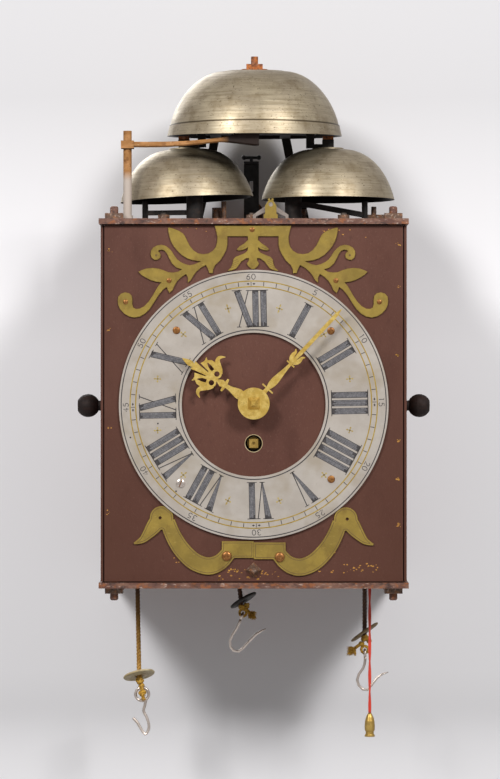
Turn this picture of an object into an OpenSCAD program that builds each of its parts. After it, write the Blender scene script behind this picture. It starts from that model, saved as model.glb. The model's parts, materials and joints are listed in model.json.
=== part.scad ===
// Three-train wall clock with three bells, in an iron case with side doors.
// X runs to the right, Y to the wall behind and Z up, all in millimetres.
// The pieces are drawn about the middle of the dial, with y = 0 on the face of the front plate,
// and are then set so that the hole of the wall bracket is the origin.

/* [Case] */
// Width of the top and bottom plates
plate_w = 254; // [250:1:262]
// Depth of the top and bottom plates
plate_d = 156; // [154:1:158]
// Thickness of the top and bottom plates
plate_t = 4.6; // [3.6:0.2:6]
// How far the plates stand out in front of the front plate
plate_lip = 4; // [3:0.5:6]
// Clear height between the two plates
case_h = 294; // [290:1:306]
// Thickness of the front plate, the back plate and the doors
sheet_t = 2; // [1.4:0.2:2.6]
// Gap left round the front plate and the doors
sheet_gap = 1; // [0.6:0.1:1.6]
// Width of the front plate
front_w = 245; // [242:1:246]
// Width of the corner posts
post_w = 9; // [7:0.5:10]
// Depth of the corner posts
post_d = 14; // [11:0.5:15]
// Distance from the plates' side edges to the middle of the posts
post_inset = 12.2; // [11:0.2:13]
// Diameter of the threaded ends of the posts
stud_d = 6.8; // [5.6:0.2:7.6]
// Length of the threaded ends beyond the plates
stud_reach = 10.4; // [8:0.4:14]
// Side of the square nuts on the posts
nut_side = 14.6; // [12:0.2:16]
// Thickness of the square nuts on the posts
nut_t = 4.6; // [3:0.2:6]

/* [Doors] */
// Diameter of the door hinge pins
hinge_pin_d = 3; // [2:0.2:3.6]
// Outer diameter of the door knuckles
knuckle_d = 6; // [5:0.2:7]
// Length of each door knuckle
knuckle_l = 24; // [14:1:40]
// Diameter of the door knobs
knob_d = 19.2; // [14:0.4:24]
// Length of a door knob without its neck
knob_l = 17; // [12:0.5:22]
// Distance of the knobs behind the front plate
knob_y = 25; // [20:1:60]

/* [Wall fixing] */
// Diameter of the hole that hangs on the wall hook
eye_d = 8; // [6:0.5:9]
// Width of the wall bracket
bracket_w = 16; // [14:0.5:20]
// Thickness of the wall bracket
bracket_t = 3; // [2:0.5:4]
// Height of the hanging hole above the middle of the dial
eye_z = 166; // [160:1:172]
// Distance from the back plate to the wall
wall_gap = 20; // [18:1:24]

/* [Dial] */
// Outer diameter of the chapter ring
ring_d = 221; // [214:1:222]
// Inner diameter of the chapter ring
ring_bore_d = 118; // [110:1:130]
// Thickness of the chapter ring
ring_t = 2.2; // [1.4:0.2:3]
// How far the ring's middle lies below the hands' middle
ring_drop = 1; // [0:0.2:1.4]
// Thickness of the brass ornaments
ornament_t = 1.5; // [1:0.1:2]
// Diameter of the copper rivets of the ring
rivet_d = 6.2; // [4:0.2:7]
// Diameter of the winding hole in the front plate
winding_hole_d = 13.8; // [12.4:0.2:15]
// Height of the winding hole below the hands' middle
winding_drop = 32.8; // [32.6:0.1:34]

/* [Hands] */
// Length of the minute hand from its middle to its tip
minute_hand_l = 105.5; // [98:0.5:108]
// Length of the hour hand from its middle to its tip
hour_hand_l = 69.7; // [68:0.1:74]
// Thickness of both hands
hand_t = 1.6; // [1.2:0.1:1.9]
// Angle of the minute hand, clockwise from the top
minute_angle = 43; // [0:1:359]
// Angle of the hour hand, clockwise from the top
hour_angle = 302.4; // [0:0.1:359]
// Diameter of the brass disc over the hands
collet_d = 26; // [22:0.5:30]
// Side of the pyramid nut on the disc
collet_nut = 9.6; // [8:0.2:11]

/* [Going train] */
// Teeth of the great wheel
great_teeth = 56; // [56:1:56]
// Leaves of the centre pinion that it drives
centre_leaves = 8; // [8:1:8]
// Teeth of the centre wheel
centre_teeth = 50; // [50:1:50]
// Leaves of the second wheel's pinion
second_leaves = 10; // [10:1:10]
// Tooth size of the centre wheel, as pitch diameter over teeth
centre_module = 1.1; // [1.08:0.01:1.11]
// Teeth of the second wheel
second_teeth = 48; // [48:1:48]
// Leaves of the third wheel's pinion
third_leaves = 12; // [12:1:12]
// Tooth size of the second wheel
second_module = 1.18; // [1.16:0.01:1.19]
// Teeth of the third wheel
third_teeth = 36; // [36:1:36]
// Leaves of the escape wheel's pinion
escape_leaves = 12; // [12:1:12]
// Tooth size of the third wheel
third_module = 1.68; // [1.66:0.01:1.7]
// Teeth of the escape wheel
escape_teeth = 30; // [24:1:36]
// Outer diameter of the escape wheel
escape_d = 48; // [44:0.5:50]
// Height of the escape wheel above the hands' middle
escape_z = 104; // [103:0.5:105]
// Thickness of the wheels' rims
wheel_t = 3; // [2.2:0.2:3.6]
// Length of the pinions
pinion_l = 7; // [6:0.2:7.4]
// Diameter of the going drum
drum_d = 44; // [40:1:46]
// Length of the drums between their flanges
drum_l = 35; // [30:0.5:35.5]
// Side of the square winding end
winding_square = 7.4; // [6:0.2:8]

/* [Motion work] */
// Teeth of the cannon pinion
cannon_teeth = 20; // [20:1:20]
// Teeth of the minute wheel
minute_teeth = 60; // [60:1:60]
// Leaves of the minute wheel's pinion
minute_leaves = 15; // [15:1:15]
// Teeth of the hour wheel
hour_teeth = 60; // [60:1:60]
// Tooth size of the cannon pinion and minute wheel
motion_module = 0.75; // [0.72:0.01:0.77]
// Diameter of the hour wheel's pipe
hour_pipe_d = 10.8; // [10:0.2:11.4]
// Diameter of the cannon pinion's pipe
cannon_pipe_d = 7; // [6.4:0.1:7.6]

/* [Striking trains] */
// Distance of the side trains from the middle
side_train_x = 74.5; // [74:0.5:76]
// Height of the side drums below the hands' middle
side_drum_drop = 60; // [56:1:66]
// Diameter of the striking drum on the left
strike_drum_d = 44; // [40:1:46]
// Diameter of the quarter drum on the right
quarter_drum_d = 34; // [30:1:40]
// Teeth of the side great wheels
side_great_teeth = 60; // [60:1:60]
// Leaves of the pin wheels' pinions
pin_leaves = 10; // [10:1:10]
// Tooth size of the side great wheels
side_module = 1.1; // [1.06:0.01:1.12]
// Teeth of the pin wheels
pin_wheel_teeth = 56; // [56:1:56]
// Leaves of the fly pinions
fly_leaves = 7; // [7:1:7]
// Tooth size of the pin wheels
pin_module = 1; // [0.96:0.01:1.02]
// Reach of the fly's vanes
fly_r = 20; // [16:0.5:22]

/* [Escapement] */
// Distance of the anchor to the right of the middle
anchor_x = 14; // [13.5:0.1:14.5]
// Height of the anchor's arbor above the top plate
anchor_rise = 11.9; // [11:0.1:13]
// Half the span of the anchor's legs
anchor_half_span = 13.4; // [12.6:0.1:14]
// Width of the anchor's arms
anchor_arm_w = 2.6; // [2:0.1:3]
// Gap between the anchor's pallets and the wheel's teeth
pallet_gap = 1.6; // [1.4:0.1:2.4]

/* [Bells] */
// Outer radius of the hour bell at its rim
hour_bell_r = 73.7; // [72:0.1:75]
// Height of the hour bell
hour_bell_h = 54.7; // [53:0.1:57]
// Height of the hour bell's rim above the hands' middle
hour_rim_z = 225; // [224:0.5:228]
// Lean of the hour bell towards the front
hour_bell_lean = 2.3; // [0:0.1:3]
// Outer radius of the two small bells at their rims
small_bell_r = 56; // [54:0.5:57]
// Height of the small bells
small_bell_h = 43.5; // [42:0.5:44]
// Height of the small bells' rims above the hands' middle
small_rim_z = 171; // [170:0.5:173]
// Distance of the left bell from the middle
left_bell_x = 58.4; // [58:0.2:60]
// Distance of the right bell from the middle
right_bell_x = 62.6; // [61:0.2:64]
// Sideways lean of the left bell
left_bell_lean = 2.9; // [0:0.1:3.5]
// Thickness of the bells' metal
bell_t = 2.4; // [1.8:0.1:2.8]
// Diameter of the bells' bolts
bell_bolt_d = 6; // [5:0.2:6.6]

/* [Hammers] */
// Diameter of the hour hammer's arbor
hour_arbor_d = 7; // [6:0.2:7.6]
// Diameter of the quarter hammers' arbors
quarter_arbor_d = 5; // [4:0.2:5.6]
// Diameter of the hour hammer's head
hour_head_d = 13; // [11:0.5:14]
// Diameter of the quarter hammers' heads
quarter_head_d = 14; // [11:0.5:15]

/* [Ropes] */
// Diameter of the weight ropes
rope_d = 3; // [2.4:0.1:3.4]
// Diameter of the pull cord
pull_cord_d = 2; // [1.6:0.1:2.4]
// Diameter of the discs that stop the ropes
disc_d = 27; // [24:0.5:29]
// Thickness of the discs
disc_t = 2.4; // [1.8:0.2:3]
// Wire diameter of the hooks
hook_d = 2.4; // [2:0.1:2.6]
// Diameter of the pull weight's foot
pull_weight_d = 8.6; // [7:0.2:10]
// Length of the pull weight
pull_weight_l = 19.6; // [16:0.2:24]

/* [Hidden] */
$fn = 48;

// Radial play of every shaft in its hole
running = 0.05;
// Small length by which cuts run past a face
past = 1;
// Air between pieces that pass close to each other
air = 0.4;

// Heights of the case
top_z = case_h / 2;
top_face = top_z + plate_t;
bottom_z = -case_h / 2;
bottom_face = bottom_z - plate_t;
// Depths of the case
plate_back = plate_d - plate_lip;
back_y = plate_back - 4 - sheet_t;
wall_y = back_y + wall_gap;
post_x = plate_w / 2 - post_inset;
post_front_y = sheet_t + post_d / 2;
post_rear_y = back_y - post_d / 2;
door_x = front_w / 2 + sheet_gap;
door_h = case_h - 2 * sheet_gap;
hinge_x = door_x + sheet_t / 2;
hinge_y = plate_back - 4;
eye_y = wall_y - bracket_t / 2;

// Depths of the movement, from the front plate backwards
bar_t = 3;
front_bar_y = 26;
rear_bar_y = 118;
bar_back = rear_bar_y + bar_t;
hour_wheel_y = 10;
cannon_y = 15;
escape_wheel_y = 17;
drum_y = 41;
great_y = 82;
centre_wheel_y = 92;
second_wheel_y = 72;
third_wheel_y = 52;
pin_wheel_y = 34;
pinion_over = (pinion_l - wheel_t) / 2;

// Places of the arbors on the front, as right and up from the hands' middle
function distance(n, leaves, m) = m * (n + leaves) / 2;
function towards(a, length) = length * [sin(a), cos(a)];
function heading(a, b) = atan2(b[0] - a[0], b[1] - a[1]);
// The point to the left of the line from p to q that is rp from p and rq from q
function meeting(p, q, rp, rq) = let(
        d = norm(q - p),
        along = (rp * rp - rq * rq + d * d) / (2 * d),
        off = sqrt(rp * rp - along * along),
        u = (q - p) / d)
    p + along * u + off * [-u[1], u[0]];
// The angle at which wheel b meshes with wheel a, for a tooth of a at angle phase
function meshed(phase, na, a, b, nb) = let(t = heading(a, b))
    t + 180 - (na * (phase - t) + 180) / nb;

centre_at = [0, 0];
great_at = [0, -winding_drop];
great_module = 2 * winding_drop / (great_teeth + centre_leaves);
second_at = [0, distance(centre_teeth, second_leaves, centre_module)];
escape_at = [anchor_x, escape_z];
third_at = meeting(second_at, escape_at, distance(second_teeth, third_leaves, second_module),
    distance(third_teeth, escape_leaves, third_module));
motion_distance = distance(cannon_teeth, minute_teeth, motion_module);
hour_module = 2 * motion_distance / (minute_leaves + hour_teeth);
motion_angle = 24;
motion_at = towards(motion_angle, motion_distance);

great_phase = 0;
centre_phase = meshed(great_phase, great_teeth, great_at, centre_at, centre_leaves);
second_phase = meshed(0, centre_teeth, centre_at, second_at, second_leaves);
third_phase = meshed(0, second_teeth, second_at, third_at, third_leaves);
escape_phase = meshed(0, third_teeth, third_at, escape_at, escape_leaves);
minute_wheel_phase = meshed(0, cannon_teeth, centre_at, motion_at, minute_teeth);
hour_wheel_phase = meshed(0, minute_leaves, motion_at, centre_at, hour_teeth);

// Places of the side trains; the left one is mirrored to the right
side_drum_z = -side_drum_drop;
pin_wheel_z = side_drum_z + distance(side_great_teeth, pin_leaves, side_module);
fly_z = pin_wheel_z + distance(pin_wheel_teeth, fly_leaves, pin_module);

// Shafts of the movement
arbor_r = 2.2;
winding_r = winding_square / 2 * sqrt(2) + 0.1;
drum_arbor_r = 3;
flange_rise = 3;
flange_t = 1.5;
bar_w = 14;
going_bar_left = 10;
going_bar_right = anchor_x + 8;
going_stud_x = -1.5;
bar_stud_r = 2.6;

// The escapement's places
anchor_z = top_face + anchor_rise;
anchor_y = escape_wheel_y - 0.5;
anchor_t = wheel_t + 1;
pallet_r = escape_d / 2 + pallet_gap;
pallet_z = escape_z + sqrt(pallet_r * pallet_r - anchor_half_span * anchor_half_span);
anchor_arbor_r = 1.8;
cock_y = 4;
cock_t = 6;
rear_cock_y = 142;
rear_cock_t = 4;
crutch_y = 134;
crutch_t = 3;
rod_x = -2;
window_half = anchor_half_span + 5;
post_y = 142;

// The bells' places
hour_bell_x = 0.7;
hour_bell_y = 76;
small_bell_y = 72;
stand_x = -2.8;
stand_y = 138;
bar_s = 9;
hour_crown_z = hour_rim_z + hour_bell_h;
small_crown_z = small_rim_z + small_bell_h;

// The hammers' places
hour_arbor_at = [-104.5, 26];
hour_head_at = [-2, 17.5];
left_arbor_at = [-90.5, 45];
left_head_at = [-49, 35];
right_arbor_at = [92.6, 45];
right_head_at = [33, 48];
shelf_z = 48;

// Places where ropes pass down through the bottom plate
rope_y = 72;
pull_y = 40;
hole_r = rope_d / 2 + 2;
strike_rope_x = -(side_train_x + strike_drum_d / 2 + rope_d / 2 + air);
quarter_rope_x = side_train_x + quarter_drum_d / 2 + rope_d / 2 + air;
going_rope_x = -(drum_d / 2 + rope_d / 2 + air);
pull_x = 96.6;

// Routes of the ropes and the cord, each from its drum or lever down to its knot
strike_route = [[-98.5, 72, -60], [-98.5, 72, -90], [-98.5, 72, -120], [-98, 72, -150],
    [-97.5, 72, -180], [-97, 72, -205], [-96.5, 72, -233]];
going_route = [[-24, 72, -33], [-24, 72, -50], [-22, 72, -80], [-18, 72, -115],
    [-14, 72, -145], [-11.5, 72, -160], [-10.5, 72, -171]];
quarter_route = [[93.5, 72, -60], [93.5, 72, -90], [93.5, 72, -120], [93.5, 72, -150],
    [93.5, 72, -170], [93.5, 72, -198]];
pull_route = [[96.6, 40, -127.4], [96.6, 40, -150], [96.6, 40, -180], [96.6, 40, -215],
    [96.6, 40, -258]];
// Middle, radius and tilt of the discs
discs = [[-96.6, -229.4, 1, -15], [-11.3, -166.6, 0.85, 36], [93.5, -193.4, 1, 34]];
// Pivots of the three hooks
left_pivot = [-94, -240];
centre_pivot = [-9, -177];
right_pivot = [93.6, -208];
// Wires of the hooks below their pivots, as right and up from the pivot
left_wire = [[3.2, -10.2], [2.4, -14.6], [1.2, -19.6], [3.6, -24.6], [5.2, -29], [5.6, -34.6],
    [2.6, -39.4], [-1.4, -34], [-4, -29.6], [-7.6, -25.5]];
centre_wire = [[-2, -10.8], [-4.4, -13.4], [-7.4, -17.4], [-10.8, -23], [-10.6, -28.2],
    [-4.8, -32.6], [1.2, -28.8], [9.2, -19.8], [19, -14]];
right_wire = [[-0.4, -11.2], [-0.8, -14.4], [-3.6, -19], [-6, -24], [-4.8, -31], [1.8, -34.4],
    [6.2, -30], [12.4, -22.8], [20.6, -20]];
eye_r = 5.6;

// A smooth curve through all of the points, with n steps from each to the next
function spline(p, n = 4) = [
    for (i = [0:len(p) - 2])
        let(a = p[max(i - 1, 0)], b = p[i], c = p[i + 1], d = p[min(i + 2, len(p) - 1)])
        for (j = [0:n - 1])
            let(t = j / n)
            0.5 * (2 * b + (c - a) * t + (2 * a - 5 * b + 4 * c - d) * t * t
                + (3 * b - a - 3 * c + d) * t * t * t),
    p[len(p) - 1]];

// The direction of a line of points at point i
function along(p, i) = let(d = p[min(i + 1, len(p) - 1)] - p[max(i - 1, 0)]) d / norm(d);

// A point on the curve from a to d that b and c pull on
function pulled(a, b, c, d, t) = a * pow(1 - t, 3) + 3 * b * t * pow(1 - t, 2)
    + 3 * c * t * t * (1 - t) + d * pow(t, 3);

module place() {
    translate([0, -eye_y, -eye_z]) children();
}

// A flat piece cut to the outline of its children as seen from the front
module sheet(y, t) {
    translate([0, y + t, 0]) rotate([90, 0, 0]) linear_extrude(t) children();
}

// A flat piece cut to the outline of its children as seen from above
module slab(z, t) {
    translate([0, 0, z]) linear_extrude(t) children();
}

// A round bar from front to back, at a place seen from the front
module shaft(at, y, l, r) {
    translate([at[0], y + l, at[1]]) rotate([90, 0, 0]) cylinder(h = l, r = r);
}

// An upright round bar, at a place seen from above
module upright(at, z, l, r) {
    translate([at[0], at[1], z]) cylinder(h = l, r = r);
}

// A low round head that stands out to the front
module dome(at, y, r, h) {
    translate([at[0], y, at[1]]) rotate([90, 0, 0]) rotate_extrude()
        polygon([[0, 0], [r, 0], for (a = [0:18:90]) [r * cos(a), h * (0.2 + 0.8 * sin(a))]]);
}

// A flat band whose points are right, up and width
module ribbon(path) {
    c = spline(path);
    n = len(c) - 1;
    function edge(i, s) = let(
            d = [for (k = [0:1]) c[min(i + 1, n)][k] - c[max(i - 1, 0)][k]],
            u = d / norm(d))
        [c[i][0] - s * u[1] * c[i][2] / 2, c[i][1] + s * u[0] * c[i][2] / 2];
    polygon([for (i = [0:n]) edge(i, -1), for (i = [n:-1:0]) edge(i, 1)]);
}

// A bent wire or rope with a ring of flat sides at each point
module tube(p, r, sides = 8) {
    n = len(p);
    function ring(i) = let(
            t = along(p, i),
            u = cross(t, [0, 1, 0]) / norm(cross(t, [0, 1, 0])),
            v = cross(t, u))
        [for (k = [0:sides - 1]) p[i] + r * (cos(360 * k / sides) * u + sin(360 * k / sides) * v)];
    polyhedron(
        points = [for (i = [0:n - 1]) each ring(i)],
        faces = [
            [for (k = [0:sides - 1]) k],
            for (i = [0:n - 2]) for (k = [0:sides - 1])
                [i * sides + k, (i + 1) * sides + k, (i + 1) * sides + (k + 1) % sides,
                    i * sides + (k + 1) % sides],
            [for (k = [sides - 1:-1:0]) (n - 1) * sides + k]]);
}

// Outline of one tooth: share of the pitch to the side, and modules from the pitch circle
tooth = [[-0.36, -1.15], [-0.19, 0], [-0.08, 0.7], [0.08, 0.7], [0.19, 0], [0.36, -1.15]];

module teeth(n, m, phase) {
    polygon([for (i = [0:n - 1]) for (k = tooth)
        let(a = phase + (i + k[0]) * 360 / n, r = n * m / 2 + k[1] * m)
        [r * sin(a), r * cos(a)]]);
}

// A toothed wheel with crossed arms
module wheel(at, y, n, m, phase, hub_r, rim = 3.2) {
    rim_r = n * m / 2 - rim * m;
    arm_w = 4;
    translate([at[0], 0, at[1]]) sheet(y, wheel_t)
        difference() {
            teeth(n, m, phase);
            difference() {
                circle(r = rim_r);
                circle(r = hub_r);
                for (a = [0, 90]) rotate(a) square([2 * rim_r + 2, arm_w], center = true);
            }
        }
}

module pinion(at, y, n, m, phase) {
    translate([at[0], 0, at[1]]) sheet(y, pinion_l) teeth(n, m, phase);
}

module square_hole(x, y, side, z, l) {
    translate([x - side / 2, y - side / 2, z]) cube([side, side, l]);
}

module post_places() {
    for (x = [-post_x, post_x]) for (y = [post_front_y, post_rear_y])
        translate([x, y, 0]) children();
}

module bar_places() {
    for (x = [-side_train_x, going_stud_x, side_train_x])
        for (y = [front_bar_y, rear_bar_y])
            translate([x, y + bar_t / 2, 0]) children();
}

// The full sheet of the top or bottom plate, with the holes that both have
module frame_plate(z) {
    difference() {
        translate([-plate_w / 2, -plate_lip, z]) cube([plate_w, plate_d, plate_t]);
        post_places() translate([0, 0, z - past]) cylinder(h = plate_t + 2 * past, d = stud_d);
        bar_places() translate([0, 0, z - past]) cylinder(h = plate_t + 2 * past, r = bar_stud_r);
        for (x = [-hinge_x, hinge_x])
            upright([x, hinge_y], z - past, plate_t + 2 * past, hinge_pin_d / 2);
        upright(hour_arbor_at, z - past, plate_t + 2 * past, hour_arbor_d / 2 + running);
    }
}

module top_plate() {
    color("saddlebrown") place() difference() {
        frame_plate(top_z);
        translate([anchor_x - window_half, anchor_y - 2.5, top_z - past])
            cube([2 * window_half, anchor_t + 5, plate_t + 2 * past]);
        translate([rod_x - 8, crutch_y - 3, top_z - past])
            cube([anchor_x - rod_x + 16, crutch_t + 5, plate_t + 2 * past]);
        for (at = [left_arbor_at, right_arbor_at])
            upright(at, top_z - past, plate_t + 2 * past, quarter_arbor_d / 2 + running);
    }
}

module bottom_plate() {
    color("saddlebrown") place() difference() {
        frame_plate(bottom_face);
        for (x = [strike_rope_x, quarter_rope_x])
            upright([x, rope_y], bottom_face - past, plate_t + 2 * past, hole_r);
        upright([pull_x, pull_y], bottom_face - past, plate_t + 2 * past, hole_r);
        translate([-16, rope_y - hole_r, bottom_face - past])
            cube([12, 2 * hole_r, plate_t + 2 * past]);
    }
}

module corner_posts() {
    color("sienna") place() post_places() {
        translate([-post_w / 2, -post_d / 2, bottom_z]) cube([post_w, post_d, case_h]);
        upright([0, 0], bottom_face - stud_reach + past, case_h + 2 * (plate_t + stud_reach - past),
            stud_d / 2);
        translate([0, 0, top_face + stud_reach - past])
            cylinder(h = past, r1 = stud_d / 2, r2 = stud_d / 2 - past);
        translate([0, 0, bottom_face - stud_reach])
            cylinder(h = past, r1 = stud_d / 2 - past, r2 = stud_d / 2);
    }
}

module nut(side, t, hole) {
    difference() {
        translate([-side / 2, -side / 2, 0]) cube([side, side, t]);
        translate([0, 0, -past]) cylinder(h = t + 2 * past, d = hole);
    }
}

catch_z = -136.8;
catch_side = 9.4;
pillar_r = 3.5;

module frame_fixings() {
    color("sienna") place() {
        post_places() {
            translate([0, 0, top_face]) nut(nut_side, nut_t, stud_d);
            translate([0, 0, bottom_face - nut_t]) nut(nut_side, nut_t, stud_d);
        }
        bar_places() translate([0, 0, top_face]) difference() {
            cylinder(h = 4.4, r = 4.8);
            translate([0, 0, -past]) cylinder(h = 4.4 + 2 * past, r = bar_stud_r);
        }
        // A locking nut with its knob, and pins on the top plate
        translate([100.8, 62, top_face]) {
            translate([-8, -8, 0]) cube([16, 16, 6]);
            cylinder(h = 13, r = 2.2);
        }
        upright([-31, 60], top_face, 12, 4);
        upright([-25, 52], top_face, 17, 2.2);
        upright([42, 84], top_face, 12, 2.6);
        // The nut of the front plate, on a stud of the middle bar
        shaft([0, catch_z], sheet_t, front_bar_y - sheet_t, pillar_r);
        shaft([0, catch_z], -5, 5 + sheet_t, 1.8);
        translate([0, 0, catch_z]) rotate([90, 0, 0]) difference() {
            cylinder(h = 5, r1 = catch_side * sqrt(2) / 2, r2 = 2.6, $fn = 4);
            translate([0, 0, -past]) cylinder(h = 5 + 2 * past, r = 1.8, $fn = 48);
        }
    }
}

module front_plate() {
    color("rosybrown") place() difference() {
        translate([-front_w / 2, 0, -door_h / 2]) cube([front_w, sheet_t, door_h]);
        shaft([0, 0], -past, sheet_t + 2 * past, hour_pipe_d / 2 + 0.6);
        shaft(great_at, -past, sheet_t + 2 * past, winding_hole_d / 2);
        shaft([0, catch_z], -past, sheet_t + 2 * past, 1.8);
    }
}

module back_plate() {
    color("dimgray") place()
        translate([-post_x - post_w / 2, back_y, -door_h / 2])
            cube([2 * post_x + post_w, sheet_t, door_h]);
}

bracket_foot = 118;

module wall_irons() {
    color("dimgray") place() {
        difference() {
            union() {
                sheet(wall_y - bracket_t, bracket_t) {
                    translate([0, eye_z]) circle(d = bracket_w);
                    translate([-bracket_w / 2, bracket_foot]) square([bracket_w, eye_z - bracket_foot]);
                }
                for (z = [bracket_foot, bracket_foot + 17])
                    translate([-bracket_w / 2, back_y + sheet_t, z])
                        cube([bracket_w, wall_gap - sheet_t - bracket_t, bracket_t]);
            }
            shaft([0, eye_z], wall_y - bracket_t - past, bracket_t + 2 * past, eye_d / 2);
        }
        for (x = [-100, 100]) translate([x, 0, 0]) slab(bottom_face - bracket_t, bracket_t)
            polygon([[-4, 126], [4, 126], [4, wall_y - 9], [0, wall_y], [-4, wall_y - 9]]);
    }
}

// The left door; the right one is its mirror image
module door() {
    front_edge = 0.5;
    back_edge = hinge_y - knuckle_d / 2 + 0.5;
    difference() {
        union() {
            translate([-door_x - sheet_t, front_edge, -door_h / 2])
                cube([sheet_t, back_edge - front_edge, door_h]);
            for (z = [-door_h / 2, door_h / 2 - knuckle_l])
                upright([-hinge_x, hinge_y], z, knuckle_l, knuckle_d / 2);
        }
        upright([-hinge_x, hinge_y], -door_h / 2 - past, door_h + 2 * past, hinge_pin_d / 2 + running);
    }
}

module left_door() {
    color("rosybrown") place() door();
}

module right_door() {
    color("rosybrown") place() mirror([1, 0, 0]) door();
}

neck_l = 3;
neck_r = 4.2;

// A turned knob that stands out to the left of the left door
module knob() {
    translate([-door_x - sheet_t, knob_y, -2]) rotate([0, -90, 0]) rotate_extrude()
        polygon([[0, 0], [neck_r, 0], [neck_r, neck_l],
            for (a = [-62:12.4:62])
                [knob_d / 2 * cos(a), neck_l + knob_l / 2 + knob_l / 2 * sin(a) / sin(62)],
            [0, neck_l + knob_l]]);
}

module left_knob() {
    color("saddlebrown") place() knob();
}

module right_knob() {
    color("saddlebrown") place() mirror([1, 0, 0]) knob();
}

module hinge_pins() {
    color("dimgray") place() for (x = [-hinge_x, hinge_x])
        upright([x, hinge_y], bottom_face, case_h + 2 * plate_t, hinge_pin_d / 2);
}

module chapter_ring() {
    color("silver") place() translate([0, 0, -ring_drop]) sheet(-ring_t, ring_t) difference() {
        circle(d = ring_d, $fn = 180);
        circle(d = ring_bore_d, $fn = 180);
    }
}

// Rivets of the ring, the ornament and the scrolls, as right, up and diameter
ring_rivets = [[-63.3, 59.9], [63.5, -62.1], [-59.9, -65.4], [63.3, 59.4]];
ornament_rivets = [[-69.4, 100.7], [-105, 83.2], [-1.3, 142.4], [67.4, 100.7], [103, 83.2]];
scroll_rivets = [[-22.1, -125.1], [21.3, -126]];

module dial_rivets() {
    color("peru") place() {
        for (at = ring_rivets) dome(at, -ring_t, rivet_d / 2, 1.2);
        for (at = ornament_rivets) dome(at, -ornament_t, rivet_d / 3, 0.8);
        for (at = scroll_rivets) dome(at, -ornament_t, rivet_d / 2 + 1, 2);
    }
}

// Half of the ornament above the dial, left of its middle line
module ornament_half() {
    translate([-30.4, 137]) square([30.5, 8.8]);
    ribbon([[-25.4, 139, 10], [-24.6, 130, 8.8], [-27.6, 121.6, 8.4], [-34.6, 117, 7],
        [-43, 118.8, 5.6], [-50.4, 123, 6.2], [-57.4, 130.6, 9], [-62, 137, 9.4], [-68.4, 143.8, 0.8]]);
    ribbon([[-33, 116.4, 4], [-40, 113.8, 7], [-48.8, 110.4, 11.4], [-57, 107, 11.6], [-66, 100.6, 9.6],
        [-73.4, 94.6, 7.4], [-79.2, 87.6, 6.6], [-85, 80, 6.2], [-93, 74.6, 6.2], [-101.6, 76.4, 6.4],
        [-106.6, 82.8, 5.8], [-105, 88.4, 4.6], [-100.6, 88.6, 2]]);
    translate([-104.4, 85.2]) circle(r = 4);
    ribbon([[-60, 104.4, 3], [-68, 104.6, 6], [-79, 105, 10.4], [-87, 106.8, 6], [-92.8, 107.8, 0.6]]);
    ribbon([[-57, 110.4, 5.6], [-65.2, 115.8, 5], [-69.4, 122.6, 4.4], [-73.6, 127.8, 4.2],
        [-79, 127.9, 4], [-81.6, 123.4, 4]]);
    difference() {
        translate([-79, 121.6]) circle(r = 3.9);
        translate([-79, 121.6]) circle(r = 1);
    }
    translate([-34, 109]) circle(r = 2.2);
    ribbon([[-33.6, 114, 3], [-34, 110, 1.6]]);
    // Thorns on the lower edge
    polygon([[-56, 104], [-52.5, 98.8], [-47, 105]]);
    polygon([[-71, 96], [-67.6, 90.4], [-63, 97]]);
    // Leaves and drop in the middle
    ribbon([[0, 121, 3.4], [-5, 122.4, 6], [-9, 125, 3.6], [-12, 126.6, 0.6]]);
    ribbon([[0, 120.4, 4], [-6, 117.8, 6.4], [-12.6, 113.4, 7.6], [-17, 110.8, 4], [-19.4, 109.4, 1]]);
    polygon([[0.1, 138], [-2.9, 138], [-2.9, 120], [-3.6, 115.4], [0.1, 110]]);
}

module top_ornament() {
    color("darkkhaki") place() translate([-1, 0, 0]) {
        sheet(-ornament_t, ornament_t) ornament_half();
        mirror([1, 0, 0]) sheet(-ornament_t, ornament_t) ornament_half();
    }
}

// The left piece of brass below the dial
module scroll(drop) {
    sheet(-ornament_t, ornament_t) difference() {
        union() {
            translate([-26, -126.6]) square([26, 13.6]);
            ribbon([[-20, -122, 12], [-26.6, -129.4, 13], [-34.4, -133, 14], [-42.2, -132.4, 14],
                [-51, -127.8, 14], [-60.2, -118, 13.6], [-66.6, -106.8, 12.8], [-70.4, -96.8, 12]]);
            translate([-75.4, -93.8]) circle(r = 9.6);
            ribbon([[-77, -94, 14], [-82.4, -101.6, 12], [-87, -107.4, 8.6], [-91.6, -112, 5.4],
                [-98, -114.8, 1.4]]);
        }
        translate([-76.6, -93.8]) circle(r = 1.3);
        translate([0, drop - ring_drop]) circle(d = ring_d + 2 * air, $fn = 180);
    }
}

// How much lower the right scroll sits
scroll_drop = 1;

module left_scroll() {
    color("darkkhaki") place() translate([-0.1, 0, 0]) scroll(0);
}

module right_scroll() {
    color("darkkhaki") place() translate([0.1, 0, -scroll_drop]) mirror([1, 0, 0]) scroll(scroll_drop);
}

// Depths of the hands' stack, from the front plate forwards
hour_hand_y = -8;
minute_hand_y = hour_hand_y - 4;
collet_y = minute_hand_y - 2;

// Half of the hour hand's pierced head, to one side of its middle line
module hour_head() {
    difference() {
        union() {
            translate([4.2, 38.3]) circle(r = 3.9);
            ribbon([[5.6, 35.8, 3.2], [8.2, 37.8, 4], [10.6, 41, 4.6], [14, 43.8, 3.6],
                [17.2, 43.3, 2.6], [19.6, 39.8, 0.5]]);
            polygon([[0.6, 39], [9.4, 40.5], [11.6, 45.2], [11.5, 48.2], [9.6, 50.8], [11.4, 53],
                [7.8, 52.6], [4.6, 54.4], [3.6, 50.5], [2.6, 46], [0.6, 43]]);
        }
        translate([4.2, 38.3]) circle(r = 2.2);
        ribbon([[5.2, 42.6, 2.6], [6.2, 46, 2.8], [7.8, 49.6, 0.8]]);
    }
}

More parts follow.
